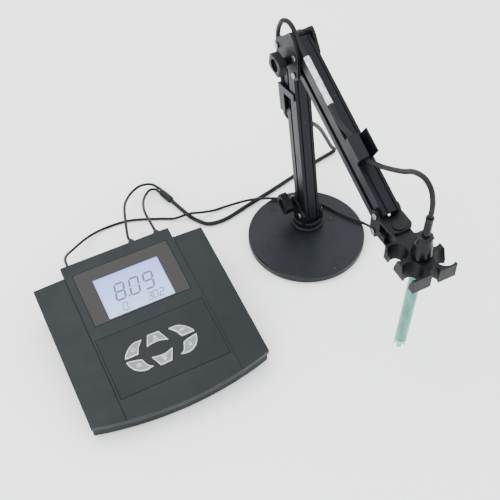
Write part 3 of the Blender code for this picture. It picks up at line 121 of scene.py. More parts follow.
def make_studio():
    """A plain pale floor, a pale surround and two soft lamps."""
    mesh = bpy.data.meshes.new("floor")
    side = FLOOR_HALF
    mesh.from_pydata(
        [(-side, -side, 0), (side, -side, 0), (side, side, 0), (-side, side, 0)], [], [(0, 1, 2, 3)]
    )
    floor = bpy.data.objects.new("floor", mesh)
    bpy.context.scene.collection.objects.link(floor)
    paint = bpy.data.materials.new("floor_paint")
    paint.use_nodes = True
    shader = paint.node_tree.nodes["Principled BSDF"]
    shader.inputs["Base Color"].default_value = (0.95, 0.95, 0.95, 1)
    shader.inputs["Roughness"].default_value = 0.9
    mesh.materials.append(paint)
    world = bpy.data.worlds.new("surround")
    world.use_nodes = True
    world.node_tree.nodes["Background"].inputs["Color"].default_value = (0.95, 0.97, 1.0, 1)
    world.node_tree.nodes["Background"].inputs["Strength"].default_value = 2.7
    bpy.context.scene.world = world
    lamps = (
        ("top_lamp", (-0.5, 0.5, 1.5), 1.4, 14.0),
        ("side_lamp", (-1.3, -0.9, 1.0), 0.9, 8.0),
    )
    for name, at, size, power in lamps:
        lamp = bpy.data.lights.new(name, "AREA")
        lamp.shape = "SQUARE"
        lamp.size = size
        lamp.energy = power
        holder = bpy.data.objects.new(name, lamp)
        bpy.context.scene.collection.objects.link(holder)
        aim = Vector(LIT_POINT) - Vector(at)
        holder.matrix_world = Matrix.Translation(at) @ aim.to_track_quat("-Z", "Y").to_matrix().to_4x4()


# ---------------------------------------------------------------- finishes

def srgb(red, green, blue):
    """A colour given as it looks on screen, from 0 to 255, turned to linear light."""
    def linear(value):
        value = value / 255
        return value / 12.92 if value <= 0.04045 else ((value + 0.055) / 1.055) ** 2.4
    return (linear(red), linear(green), linear(blue), 1)


class Finish:
    """A material under construction: its shader, and helpers that add one node each."""

    def __init__(self, name, roughness, metallic=0.0, coat=0.0, specular=0.5):
        self.made = bpy.data.materials.new(name)
        self.made.use_nodes = True
        self.nodes = self.made.node_tree.nodes
        self.links = self.made.node_tree.links
        self.shader = self.nodes["Principled BSDF"]
        self.set("Roughness", roughness)
        self.set("Metallic", metallic)
        self.set("Coat Weight", coat)
        self.set("Specular IOR Level", specular)
        self.place = self.nodes.new("ShaderNodeTexCoord").outputs["Object"]

    def set(self, socket, value):
        self.shader.inputs[socket].default_value = value

    def join(self, output, target):
        self.links.new(output, target)

    def stretched(self, scale, shift=(0, 0, 0)):
        mapping = self.nodes.new("ShaderNodeMapping")
        mapping.inputs["Scale"].default_value = scale
        mapping.inputs["Location"].default_value = shift
        self.join(self.place, mapping.inputs["Vector"])
        return mapping.outputs["Vector"]

    def noise(self, size, detail=3.0, along=None):
        """Cloudy noise whose features are about size across, in metres."""
        cloud = self.nodes.new("ShaderNodeTexNoise")
        cloud.inputs["Scale"].default_value = 1 / size
        cloud.inputs["Detail"].default_value = detail
        self.join(along or self.place, cloud.inputs["Vector"])
        return cloud.outputs["Fac"]

    def ramp(self, factor, *stops):
        """A colour ramp through (place, colour) stops."""
        made = self.nodes.new("ShaderNodeValToRGB")
        band = made.color_ramp
        while len(band.elements) < len(stops):
            band.elements.new(0.5)
        for element, (at, colour) in zip(band.elements, stops):
            element.position = at
            element.color = colour
        self.join(factor, made.inputs["Fac"])
        return made.outputs["Color"]

    def spread(self, factor, low, high):
        """The factor moved to run from low to high."""
        made = self.nodes.new("ShaderNodeMapRange")
        made.inputs["From Min"].default_value = 0.3
        made.inputs["From Max"].default_value = 0.7
        made.inputs["To Min"].default_value = low
        made.inputs["To Max"].default_value = high
        self.join(factor, made.inputs["Value"])
        return made.outputs["Result"]

    def bump(self, height, distance):
        made = self.nodes.new("ShaderNodeBump")
        made.inputs["Distance"].default_value = distance
        self.join(height, made.inputs["Height"])
        self.join(made.outputs["Normal"], self.shader.inputs["Normal"])

    def mix(self, factor, first, second):
        made = self.nodes.new("ShaderNodeMix")
        made.data_type = "RGBA"
        self.join(factor, made.inputs["Factor"])
        for value, socket in ((first, made.inputs["A"]), (second, made.inputs["B"])):
            self.fill(value, made, socket)
        return made.outputs[2]

    def fill(self, value, made, socket):
        index = [s for s in made.inputs if s.name == socket.name and s.type == "RGBA"][0]
        if isinstance(value, tuple):
            index.default_value = value
        else:
            self.join(value, index)


FINISHES = {}


def finish(name):
    return FINISHES[name].made


def moulded(name, dark, light, roughness, grain=0.00012, grain_size=0.0006, patch=0.03, **shader):
    """Moulded plastic or paint: two close shades in soft patches, uneven gloss and a fine grain."""
    made = Finish(name, roughness, **shader)
    shade = made.ramp(made.noise(patch), (0.32, dark), (0.68, light))
    made.join(shade, made.shader.inputs["Base Color"])
    gloss = made.spread(made.noise(patch / 3), roughness * 0.9, roughness * 1.12)
    made.join(gloss, made.shader.inputs["Roughness"])
    made.bump(made.noise(grain_size, 2.0), grain)
    FINISHES[name] = made


def make_finishes():
    moulded("housing", srgb(22, 26, 27), srgb(27, 31, 32), 0.52, grain=0.00008, patch=0.05, specular=0.18)
    moulded("keypad", srgb(22, 26, 27), srgb(26, 29, 31), 0.5, grain=0.00006, patch=0.05, specular=0.16)
    moulded("lower_shell", srgb(16, 19, 21), srgb(20, 24, 26), 0.5, grain=0.00008, patch=0.05, specular=0.16)
    moulded("lens_print", srgb(29, 27, 26), srgb(33, 31, 29), 0.16, grain=0.0, patch=0.08, specular=0.22)
    moulded("key_rim", srgb(168, 171, 172), srgb(182, 185, 186), 0.35, grain=0.00003)
    moulded("key_face", srgb(96, 100, 102), srgb(110, 114, 116), 0.42, grain=0.00005)
    moulded("key_mark", srgb(190, 193, 194), srgb(200, 203, 204), 0.4, grain=0.0)
    moulded("segment", srgb(58, 68, 92), srgb(66, 76, 100), 0.3, grain=0.0)
    moulded("faint_segment", srgb(150, 166, 196), srgb(158, 174, 204), 0.3, grain=0.0)
    moulded("stand_plastic", srgb(7, 8, 11), srgb(11, 14, 17), 0.42, grain=0.00009, patch=0.02, specular=0.16)
    moulded("cap_plastic", srgb(4, 6, 8), srgb(8, 9, 11), 0.26, grain=0.00003, patch=0.02, specular=0.21)
    moulded("sheath", srgb(14, 14, 16), srgb(19, 20, 21), 0.5, grain=0.00004, patch=0.01, specular=0.18)
    moulded("foot_rubber", srgb(12, 12, 13), srgb(17, 17, 17), 0.8, grain=0.0001, specular=0.16)
    moulded("bolt_steel", srgb(132, 136, 140), srgb(158, 161, 164), 0.3, grain=0.00002, metallic=1.0)
    moulded(
        "sleeve", srgb(150, 154, 160), srgb(216, 219, 222), 0.2, grain=0.0004, grain_size=0.003, patch=0.006,
        coat=0.5,
    )
    moulded("board_green", srgb(24, 78, 46), srgb(30, 92, 54), 0.4, grain=0.00003)
    moulded("guard", srgb(96, 178, 166), srgb(116, 192, 180), 0.3, grain=0.0)
    make_anodised()
    make_disc_paint()
    make_teal()
    make_screen()
    make_glass()


def make_anodised():
    """Black anodised extrusion: fine die lines along the arms and a few pale nicks."""
    made = Finish("anodised", 0.38, metallic=0.2, specular=0.18)
    lines = made.noise(0.0016, 2.0, made.stretched((1.0, 0.03, 0.03)))
    shade = made.ramp(lines, (0.3, srgb(8, 11, 15)), (0.7, srgb(15, 19, 24)))
    nicks = made.ramp(made.noise(0.0035, 4.0), (0.725, (0, 0, 0, 1)), (0.75, (1, 1, 1, 1)))
    made.join(made.mix(nicks, shade, srgb(70, 75, 80)), made.shader.inputs["Base Color"])
    made.join(made.spread(made.noise(0.02), 0.3, 0.44), made.shader.inputs["Roughness"])
    made.bump(lines, 0.00003)
    FINISHES["anodised"] = made


def make_disc_paint():
    """Semi-matt black paint with dust specks and darker handling smudges."""
    made = Finish("disc_paint", 0.42, specular=0.21)
    shade = made.ramp(made.noise(0.035), (0.3, srgb(11, 14, 18)), (0.7, srgb(16, 20, 24)))
    smudges = made.ramp(made.noise(0.018, 2.0), (0.64, (0, 0, 0, 1)), (0.74, (1, 1, 1, 1)))
    shade = made.mix(smudges, shade, srgb(6, 9, 12))
    dots = made.nodes.new("ShaderNodeTexVoronoi")
    dots.inputs["Scale"].default_value = 110.0
    made.join(made.place, dots.inputs["Vector"])
    specks = made.ramp(dots.outputs["Distance"], (0.05, (1, 1, 1, 1)), (0.075, (0, 0, 0, 1)))
    chosen = made.ramp(made.noise(0.01, 1.0), (0.58, (0, 0, 0, 1)), (0.62, (1, 1, 1, 1)))
    only = made.mix(chosen, (0, 0, 0, 1), specks)
    made.join(made.mix(only, shade, srgb(96, 102, 108)), made.shader.inputs["Base Color"])
    made.join(made.spread(made.noise(0.02), 0.34, 0.48), made.shader.inputs["Roughness"])
    made.bump(made.noise(0.0007, 2.0), 0.00006)
    FINISHES["disc_paint"] = made


def make_teal():
    """A clear teal tube with darker cloudy streaks inside."""
    made = Finish("teal_tube", 0.22, coat=0.5)
    streaks = made.noise(0.006, 3.0, made.stretched((1.6, 1.6, 0.45)))
    made.join(
        made.ramp(
            streaks, (0.34, srgb(8, 92, 80)), (0.5, srgb(18, 124, 110)), (0.7, srgb(32, 146, 130))
        ),
        made.shader.inputs["Base Color"],
    )
    made.set("Transmission Weight", 0.15)
    made.bump(made.noise(0.004), 0.00003)
    FINISHES["teal_tube"] = made


def make_screen():
    """The lit display: pale blue, whiter towards its front edge."""
    made = Finish("screen", 0.25, coat=0.2)
    along = made.stretched((1, 1, 1), (0.209, 0.01, 0))
    parts = made.nodes.new("ShaderNodeSeparateXYZ")
    made.join(along, parts.inputs["Vector"])
    depth = made.nodes.new("ShaderNodeMapRange")
    depth.inputs["From Min"].default_value = 0.035
    depth.inputs["From Max"].default_value = -0.03
    made.join(parts.outputs["Y"], depth.inputs["Value"])
    colour = made.ramp(
        depth.outputs["Result"],
        (0.0, srgb(118, 142, 202)), (0.5, srgb(138, 162, 214)), (1.0, srgb(160, 182, 222)),
    )
    made.join(colour, made.shader.inputs["Base Color"])
    made.join(colour, made.shader.inputs["Emission Color"])
    made.set("Emission Strength", 0.22)
    FINISHES["screen"] = made


def make_glass():
    """Clear, faintly milky glass."""
    made = Finish("bulb_glass", 0.05)
    made.join(
        made.ramp(made.noise(0.004), (0.3, srgb(222, 232, 230)), (0.7, srgb(236, 242, 240))),
        made.shader.inputs["Base Color"],
    )
    made.set("Transmission Weight", 0.6)
    FINISHES["bulb_glass"] = made


# ---------------------------------------------------------------- making pieces

def show(name, mesh, finish_name, body=None, replaces=(), sharp=35):
    """An object for the mesh, in its finish, riding on its body and standing for CAD nodes."""
    piece = bpy.data.objects.new(name, mesh)
    bpy.context.scene.collection.objects.link(piece)
    mesh.materials.clear()
    mesh.materials.append(finish(finish_name))
    if sharp:
        mesh.shade_smooth()
        mesh.set_sharp_from_angle(angle=radians(sharp))
    if body:
        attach(piece, body)
    if replaces:
        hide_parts(*replaces)
    return piece


def softened(name, mesh, width, segments=2, angle=30):
    """The mesh with its sharp edges rounded to the width, and its flat faces kept flat in the light."""
    mesh.shade_smooth()
    piece = bpy.data.objects.new(name, mesh)
    bpy.context.scene.collection.objects.link(piece)
    edge = piece.modifiers.new("edges", "BEVEL")
    edge.width = width
    edge.segments = segments
    edge.limit_method = "ANGLE"
    edge.angle_limit = radians(angle)
    edge.use_clamp_overlap = True
    even = piece.modifiers.new("flat_faces", "WEIGHTED_NORMAL")
    even.weight = 80
    even.use_face_influence = False
    graph = bpy.context.evaluated_depsgraph_get()
    result = bpy.data.meshes.new_from_object(piece.evaluated_get(graph))
    bpy.data.objects.remove(piece)
    result.name = name
    return result


def cleaned(source, mesh, weld=WELD, flat=False, move=None):
    """Writes the source into the mesh: welded, flat areas made whole, points moved, faces outward."""
    work = bmesh.new()
    work.from_mesh(source)
    if weld:
        bmesh.ops.remove_doubles(work, verts=work.verts, dist=weld)
    if flat:
        bmesh.ops.dissolve_limit(work, angle_limit=FLAT, verts=work.verts, edges=work.edges)
    if move:
        for vert in work.verts:
            vert.co = move(vert.co)
    bmesh.ops.recalc_face_normals(work, faces=work.faces)
    work.to_mesh(mesh)
    work.free()
    return mesh


def node_copy(node, warp=None):
    """A CAD node's mesh, welded, with flat areas whole again."""
    return cleaned(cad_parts[node].data, bpy.data.meshes.new(node), NODE_WELD, True, warp)


def rounded_node(node, body, finish_name, width=0.4 * MM, warp=None, segments=2):
    """A visible CAD part with its edges rounded as a mould or a tumbler leaves them."""
    mesh = softened(node + "_finish", node_copy(node, warp), width, segments)
    return show(node + "_finish", mesh, finish_name, body, (node,), None)


def from_faces(name, verts, faces):
    mesh = bpy.data.meshes.new(name)
    mesh.from_pydata([tuple(v) for v in verts], [], faces)
    return cleaned(mesh, mesh)


def slab(name, outlines, low, high, matrix):
    """A flat sheet from low to high. The first outline is its edge, and the others are holes."""
    curve = bpy.data.curves.new(name, "CURVE")
    curve.dimensions = "2D"
    curve.fill_mode = "BOTH"
    curve.extrude = (high - low) / 2
    for outline in outlines:
        line = curve.splines.new("POLY")
        line.points.add(len(outline) - 1)
        for point, (a, b) in zip(line.points, outline):
            point.co = (a, b, 0, 1)
        line.use_cyclic_u = True
    drawn = bpy.data.objects.new(name, curve)
    bpy.context.scene.collection.objects.link(drawn)
    graph = bpy.context.evaluated_depsgraph_get()
    mesh = bpy.data.meshes.new_from_object(drawn.evaluated_get(graph))
    bpy.data.objects.remove(drawn)
    lifted = matrix @ Matrix.Translation((0, 0, (low + high) / 2))
    return cleaned(mesh, mesh, flat=True, move=lambda at: lifted @ at)


def turned(name, profile, matrix, sides=48):
    """A closed turned shape. The profile's points are (radius, height), from one end to the other."""
    verts = []
    faces = []
    for k in range(sides):
        turn = 2 * pi * k / sides
        verts += [matrix @ Vector((r * cos(turn), r * sin(turn), z)) for r, z in profile]
    count = len(profile)
    for k in range(sides):
        here, there = k * count, (k + 1) % sides * count
        for i in range(count - 1):
            faces.append((here + i, there + i, there + i + 1, here + i + 1))
    return from_faces(name, verts, faces)


def aimed(at, heading):
    """Places a shape at the point, with its Z axis along the heading."""
    return Matrix.Translation(at) @ heading.to_track_quat("Z", "Y").to_matrix().to_4x4()


def in_mm(points):
    return [(a * MM, b * MM) for a, b in points]


def rectangle(low_x, low_y, high_x, high_y):
    return [(low_x, low_y), (high_x, low_y), (high_x, high_y), (low_x, high_y)]


def rounded(outline, radius, steps=4):
    """The outline with each corner turned in a small arc."""
    result = []
    count = len(outline)
    for i, corner in enumerate(outline):
        here = Vector(corner)
        to_last = Vector(outline[i - 1]) - here
        to_next = Vector(outline[(i + 1) % count]) - here
        reach = min(radius, to_last.length / 2.1, to_next.length / 2.1)
        start = here + to_last.normalized() * reach
        end = here + to_next.normalized() * reach
        for k in range(steps + 1):
            t = k / steps
            result.append(tuple(start.lerp(here, t).lerp(here.lerp(end, t), t)))
    return result


def through(points, steps=4):
    """A smooth open line through 2-D points."""
    points = [Vector(p) for p in points]
    if len(points) == 2:
        return points
    ends = [points[0] * 2 - points[1], *points, points[-1] * 2 - points[-2]]
    fine = []
    for a, b, c, d in zip(ends, ends[1:], ends[2:], ends[3:]):
        for k in range(steps):
            t = k / steps
            fine.append(
                b + (c - a) * t / 2 + (a * 2 - b * 5 + c * 4 - d) * t ** 2 / 2
                + (b * 3 - a - c * 3 + d) * t ** 3 / 2
            )
    return fine + [points[-1]]


# ---------------------------------------------------------------- cables

def smooth_route(points, spacing, start=None, end=None):
    """Points at an even spacing along a smooth curve through the given ones, which leaves its first
    point and reaches its last one along the given headings."""
    before = points[0] * 2 - points[1]
    after = points[-1] * 2 - points[-2]
    if start:
        before = points[1] - start * (points[1] - points[0]).length * 2
        after = points[-2] + end * (points[-1] - points[-2]).length * 2
    fine = through([before, *points, after], 12)[12:-12]
    lengths = [0]
    for a, b in zip(fine, fine[1:]):
        lengths.append(lengths[-1] + (b - a).length)
    count = max(4, round(lengths[-1] / spacing))
    route = []
    index = 0
    for k in range(count + 1):
        wanted = lengths[-1] * k / count
        while index < len(fine) - 2 and lengths[index + 1] < wanted:
            index += 1
        span = lengths[index + 1] - lengths[index]
        route.append(fine[index].lerp(fine[index + 1], (wanted - lengths[index]) / span))
    return route


def tube(name, route, radius, sides=20):
    """A round tube along the route, with closed ends. The radius is one number or one for each point."""
    radii = radius if isinstance(radius, list) else [radius] * len(route)
    ends = [route[0] * 2 - route[1], *route, route[-1] * 2 - route[-2]]
    headings = [(after - before).normalized() for before, after in zip(ends, ends[2:])]
    side = headings[0].orthogonal().normalized()
    verts = []
    for at, heading, wide in zip(route, headings, radii):
        side = (side - heading * side.dot(heading)).normalized()
        up = heading.cross(side)
        turns = [2 * pi * k / sides for k in range(sides)]
        verts += [at + (side * cos(turn) + up * sin(turn)) * wide for turn in turns]
    faces = []
    for i in range(len(route) - 1):
        for k in range(sides):
            a, b = i * sides + k, i * sides + (k + 1) % sides
            faces.append((a, b, b + sides, a + sides))
    faces.append(tuple(range(sides)))
    faces.append(tuple(range(len(verts) - sides, len(verts))))
    return from_faces(name, verts, faces)


def on_upper_arm(x, along, up):
    return UPPER_ARM @ Vector((x, along, up))


def on_lower_arm(x, along, behind):
    return LOWER_ARM @ Vector((x, behind, along))


def at_elbow(x, y, z):
    return ELBOW_BACK + Vector((x, y, z)) * MM


def above_electrode(x, y, z):
    lean = Vector((sin(ELECTRODE_LEAN), 0, cos(ELECTRODE_LEAN)))
    return HOLDER_CENTRE + lean * BOOT_TOP + Vector((x, y, z)) * MM


def table(*points):
    return [Vector(point) * MM for point in points]


CLIP_START = -123.0 * MM
CLIP_LENGTH = 25.0 * MM
LOWER_CLIP = (124.0 * MM, 156.0 * MM)
LOWER_CLIP_LANE = -6.2 * MM
LEAD_BEHIND = 25.4 * MM
LANE = -CHANNEL_HALF + 2.25 * MM
LANE_FLOOR = UPPER_TOP - 2.1 * MM + LEAD_RADIUS + GAP
IN_CLIP = UPPER_TOP + GAP + 1.3 * MM + GAP * 4 + LEAD_RADIUS
LEAD_SPACING = 2.6 * MM
SPLITTER_START = (-114, 122, 4.5)
SPLITTER_AIM = (-118.6, 137, 5.2)
SPLITTER_LENGTH = 20 * MM
BRANCH_SIDE = 2.1 * MM


def lead_runs():
    """The electrode lead as runs of route points, each ending where the next one starts."""
    clip_low, clip_high = LOWER_CLIP
    after_clip = CLIP_START + CLIP_LENGTH
    return {
        "lead_electrode": [
            above_electrode(0.0, 0, 0.3), above_electrode(0.2, 0, 10), above_electrode(-0.5, 0.8, 21),
        ],
        "lead_holder": [
            above_electrode(-1.2, 5, 31), above_electrode(-2, 14.5, 35.3), above_electrode(-2, 28.5, 29.5),
        ],
        "lead_wrist": [
            above_electrode(-2, 41.5, 18.5), above_electrode(-2, 58.5, 6.5), above_electrode(-2.3, 76, -4),
            on_upper_arm(-1.6 * MM, CLIP_START, IN_CLIP),
        ],
        "lead_upper_arm": [
            on_upper_arm(-3.4 * MM, CLIP_START + CLIP_LENGTH / 2, IN_CLIP),
            on_upper_arm(-5.2 * MM, after_clip, IN_CLIP),
            on_upper_arm(-6.0 * MM, after_clip + 7 * MM, IN_CLIP - 1.4 * MM),
            on_upper_arm(LANE, after_clip + 16 * MM, LANE_FLOOR),
            on_upper_arm(LANE, -60 * MM, LANE_FLOOR), on_upper_arm(LANE, -30 * MM, LANE_FLOOR),
            on_upper_arm(LANE, 0, LANE_FLOOR), on_upper_arm(LANE, 10 * MM, LANE_FLOOR + 1 * MM),
            at_elbow(-6.5, -20.5, 31), at_elbow(-8, -13.5, 34.4), at_elbow(-9.8, -6.5, 32),
        ],
        "lead_elbow": [
            at_elbow(-9.2, 0, 24.2), at_elbow(-8, 6, 13.5), at_elbow(-7, 9, 2),
            at_elbow(-7, 8, -12), on_lower_arm(LOWER_CLIP_LANE, clip_high, LEAD_BEHIND),
            on_lower_arm(LOWER_CLIP_LANE, (clip_low + clip_high) / 2, LEAD_BEHIND),
        ],
        "lead_post": [
            on_lower_arm(LOWER_CLIP_LANE, clip_low, LEAD_BEHIND),
            *table((6, 61.5, 137), (15, 63, 122), (30, 69, 110), (43, 73.5, 99.5)),
        ],
        "lead_table": table(
            (55, 80, 85), (66, 87, 68), (76, 94, 49), (85, 100, 31), (93, 104, 15), (99, 106, 6),
            (95, 106, 2.8), (72, 101.5, 2.7), (31, 91, 2.7), (-5, 82, 2.7), (-36, 75, 2.7), (-68, 67.5, 2.7),
            (-88, 69, 2.7), (-97, 77, 2.7), (-105, 92, 3.0), SPLITTER_START,
        ),
    }


def make_lead():
    """The lead's runs, each one a tube of its own that meets its neighbours smoothly."""
    runs = lead_runs()
    whole = [point for run in runs.values() for point in run]
    ends = [whole[0] * 2 - whole[1], *whole, whole[-1] * 2 - whole[-2]]
    headings = [(after - before).normalized() for before, after in zip(ends, ends[2:])]
    first = 0
    for name, run in runs.items():
        last = min(first + len(run), len(whole) - 1)
        route = smooth_route(whole[first:last + 1], LEAD_SPACING, headings[first], headings[last])
        piece = show(name + "_sheath", tube(name, route, LEAD_RADIUS), "sheath", sharp=60)
        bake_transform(piece)
        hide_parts(name)
        first = last


def make_splitter():
    """The moulding where the lead splits. Also gives where its branches start, and their heading."""
    start = Vector(SPLITTER_START) * MM
    heading = (Vector(SPLITTER_AIM) * MM - start).normalized()
    profile = in_mm([(0, 0), (2.9, 0), (3.5, 0.8), (4.2, 3), (4.2, 17), (3.9, 18.6), (3.2, 19.8), (0, 20)])
    mesh = turned("lead_splitter", profile, aimed(start + heading * GAP, heading), 32)
    piece = show("splitter_moulding", mesh, "sheath", "base", ("lead_splitter",))
    return piece, start + heading * (SPLITTER_LENGTH + GAP * 4), heading


def make_plug(name, at, length, radius=4.6 * MM):
    """A moulded plug on a rear socket, with a tapered and ribbed grip."""
    shape = [
        (0, 0), (radius * 0.96, 0), (radius, 0.5 * MM), (radius, length * 0.42),
        (radius * 0.9, length * 0.46), (radius * 0.9, length * 0.5),
        (radius * 0.98, length * 0.54), (radius * 0.92, length * 0.72),
        (radius * 0.62, length * 0.94), (radius * 0.5, length), (0, length),
    ]
    matrix = Matrix.Translation(at) @ Matrix.Rotation(radians(-90), 4, "X")
    mesh = turned(name, shape, matrix, 32)
    return show(name + "_moulding", mesh, "sheath", "base", (name,))


def make_cables():
    """The lead, its two branches with their plugs, and the supply cable."""
    splitter, out, heading = make_splitter()
    make_lead()
    spots = (("branch_outer", "plug_outer", 1), ("branch_inner", "plug_inner", -1))
    middles = (
        table((-126, 156, 7.5), (-138, 157, 10.5), (-151, 149, 15), (-164, 134, 21), (-174, 114, 28)),
        table((-130, 149, 6.5), (-138, 142, 9.5), (-146, 129, 15), (-152, 112, 23), (-156, 94, 31)),
    )
    for (name, plug_name, side), middle in zip(spots, middles):
        plug_low, plug_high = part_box(plug_name)
        x = (plug_low.x + plug_high.x) / 2
        z = (plug_low.z + plug_high.z) / 2
        plug = make_plug(plug_name, Vector((x, plug_low.y, z)), plug_high.y - plug_low.y)
        begin = out + Vector((side * BRANCH_SIDE, 0, 0))
        goal = Vector((x, plug_high.y + GAP, z))
        points = [begin, begin + heading * 5 * MM, *middle, goal + Vector((0, 8 * MM, 0)), goal]
        route = smooth_route(points, 2.2 * MM)
        piece = show(
            name + "_sheath", tube(name, route, BRANCH_RADIUS, 16), "sheath", "base", (name,), 60
        )
    make_supply()


def make_supply():
    """The supply cable, from the rear panel over the disc to its plug."""
    panel_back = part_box("rear_panel")[1].y
    start = Vector((-259.8 * MM, panel_back + GAP, 34.0 * MM))
    points = [
        start, start + Vector((0, 6 * MM, 0)),
        *table(
            (-258, 76, 28), (-243, 95, 17), (-220, 114, 6), (-196, 121, 2), (-168, 118, 2), (-136, 104, 2),
            (-122, 96, 3), (-106, 90, 8.6), (-92, 85, 8.6), (-76, 86, 3), (-60, 85, 3), (-36, 77, 8.6),
            (-21, 69, 11.6), (-7, 61, 12.5), (14, 47, 12.3), (35, 29, 12), (45, 10, 12), (54, -6, 12.3),
            (62, -18, 12.3), (70, -29, 9.5), (78, -39, 5.5), (87, -47, 4.6), (96, -52, 4.6),
        ),
    ]
    route = smooth_route(points, 2.4 * MM)
    heading = (points[-1] - points[-2]).normalized()
    profile = in_mm([
        (0, 0), (2.4, 0), (2.9, 2), (3.4, 5), (4.2, 6.4), (4.37, 7), (4.37, 14.6), (4.1, 15), (2.9, 15),
        (2.75, 15.3), (2.75, 23.6), (2.4, 24), (0, 24),
    ])
    mesh = turned("supply_plug", profile, aimed(points[-1] + heading * GAP, heading), 32)
    plug = show("supply_plug_moulding", mesh, "sheath", "base", ("supply_plug",))
    piece = show(
        "supply_cable_sheath", tube("supply_cable", route, SUPPLY_RADIUS, 16), "sheath", "base",
        ("supply_cable",), 60,
    )


# ---------------------------------------------------------------- meter

def lower_wings(point):
    """The wings fall a little towards their outer edges, and meet the lower shell level."""
    local = METER.inverted() @ point
    out = abs(local.x) - SEAM_X - 0.5 * MM
    if out > 0:
        local.z -= out * WING_FALL * (local.z + UPPER_DEPTH) / UPPER_DEPTH
    return METER @ local


def make_housing():
    rounded_node("upper_housing", "base", "housing", 0.7 * MM, lower_wings, 3)
    rounded_node("centre_panel", "base", "housing", 0.4 * MM)
    rounded_node("lower_housing", "base", "lower_shell", 0.8 * MM)
    rounded_node("rear_panel", "base", "lower_shell", 0.4 * MM)
    for side in ("left", "right"):
        for end in ("back", "front"):
            rounded_node(f"foot_{end}_{side}", "base", "foot_rubber", 0.6 * MM)


# Each lit figure: its left, top, width, height and bar width. Then the lit points: x, y and radius
FIGURES = (
    ("8", -17.6, -28.6, 9.6, 18.6, 2.1), ("0", -1.6, -28.6, 9.6, 18.6, 2.1),
    ("9", 14.0, -28.6, 9.6, 18.6, 2.1),
    ("0", -17.4, -52.0, 4.6, 8.6, 0.95),
    ("3", 9.6, -51.6, 4.6, 8.4, 0.95), ("0", 16.0, -51.6, 4.6, 8.4, 0.95), ("2", 22.8, -51.6, 4.6, 8.4, 0.95),
)
POINTS = ((-7.6, -46.8, 1.1), (-12.6, -60.4, 0.55), (20.4, -60.0, 0.5))
SEGMENTS = {
    "0": "abcdef", "2": "abged", "3": "abgcd", "8": "abcdefg", "9": "abcfgd",
}


def digit(figure, left, top, wide, tall, thick, slant=0.2):
    """A figure's lit bars, each a short six-sided strip, leaning to the right."""
    middle = top - tall / 2
    bottom = top - tall
    cut = thick * 0.12
    right = left + wide
    ends = {
        "a": ((left, top), (right, top)), "g": ((left, middle), (right, middle)),
        "d": ((left, bottom), (right, bottom)), "f": ((left, top), (left, middle)),
        "b": ((right, top), (right, middle)), "e": ((left, middle), (left, bottom)),
        "c": ((right, middle), (right, bottom)),
    }
    bars = []
    for name in SEGMENTS[figure]:
        start, end = (Vector(p) for p in ends[name])
        along = (end - start).normalized()
        across = Vector((-along.y, along.x)) * thick / 2
        first = start + along * cut
        last = end - along * cut
        bar = [
            first, first + along * thick / 2 + across, last - along * thick / 2 + across,
            last, last - along * thick / 2 - across, first + along * thick / 2 - across,
        ]
        bars.append([(p.x + (p.y - top) * slant, p.y) for p in bar])
    return bars


def dot(x, y, radius, sides=12):
    turns = [2 * pi * k / sides for k in range(sides)]
    return [(x + radius * cos(turn), y + radius * sin(turn)) for turn in turns]


def ring(x, y, radius, inner):
    return [dot(x, y, radius, 20), dot(x, y, inner, 20)]


def arc(x, y, radius, start, end, steps=20):
    """Points round a middle, with the angle measured from straight up."""
    turns = [start + (end - start) * k / steps for k in range(steps + 1)]
    return [(x + radius * sin(turn), y + radius * cos(turn)) for turn in turns]


def printed(name, shapes, low, high, finish_name, body):
    """Flat marks that stand a hair above the surface under them."""
    work = bmesh.new()
    for shape in shapes:
        outlines = shape if isinstance(shape[0], list) else [shape]
        work.from_mesh(slab(name, outlines, low, high, METER))
    mesh = bpy.data.meshes.new(name)
    work.to_mesh(mesh)
    work.free()
    return show(name, mesh, finish_name, body)


def make_display():
    """The lens's dark frame, the display under it, and what the display shows."""
    inner = rectangle(*LCD)
    outer = rounded(rectangle(*LENS), 1.5 * MM)
    frame_low = PANEL_TOP - LENS_THICK
    mesh = slab("lens_frame", [outer, inner], frame_low, PANEL_TOP, METER)
    mesh = softened("lens_frame", mesh, 0.25 * MM)
    show("lens_frame", mesh, "lens_print", "base", ("display_lens",), None)
    face = frame_low - 0.1 * MM
    room = 0.2 * MM
    screen = rectangle(LCD[0] - room, LCD[1] - room, LCD[2] + room, LCD[3] + room)
    mesh = slab("lcd_panel", [screen], face - 3.6 * MM, face, METER)
    show("lcd_panel", mesh, "screen", "base", ("lcd_module",))
    bars = []
    for figure, *sizes in FIGURES:
        bars += digit(figure, *(size * MM for size in sizes))
    for sizes in POINTS:
        bars.append(dot(*(size * MM for size in sizes)))
    printed("lcd_figures", bars, face, face + 0.06 * MM, "segment", "base")
    faint = [
        ring(-26 * MM, -19 * MM, 2.2 * MM, 1.9 * MM), ring(-5 * MM, -19.6 * MM, 2.2 * MM, 1.8 * MM),
        ring(6 * MM, -19.6 * MM, 2.2 * MM, 1.8 * MM),
        rectangle(28 * MM, -31 * MM, 32 * MM, -30.2 * MM), rectangle(-1 * MM, -56 * MM, 5 * MM, -55 * MM),
        [(29 * MM, -44 * MM), (33 * MM, -44 * MM), (31 * MM, -40.6 * MM)],
        rectangle(-30 * MM, -57 * MM, -27 * MM, -55.6 * MM), rectangle(29 * MM, -53 * MM, 31 * MM, -52 * MM),
    ]
    printed("lcd_marks", faint, face, face + 0.05 * MM, "faint_segment", "base")


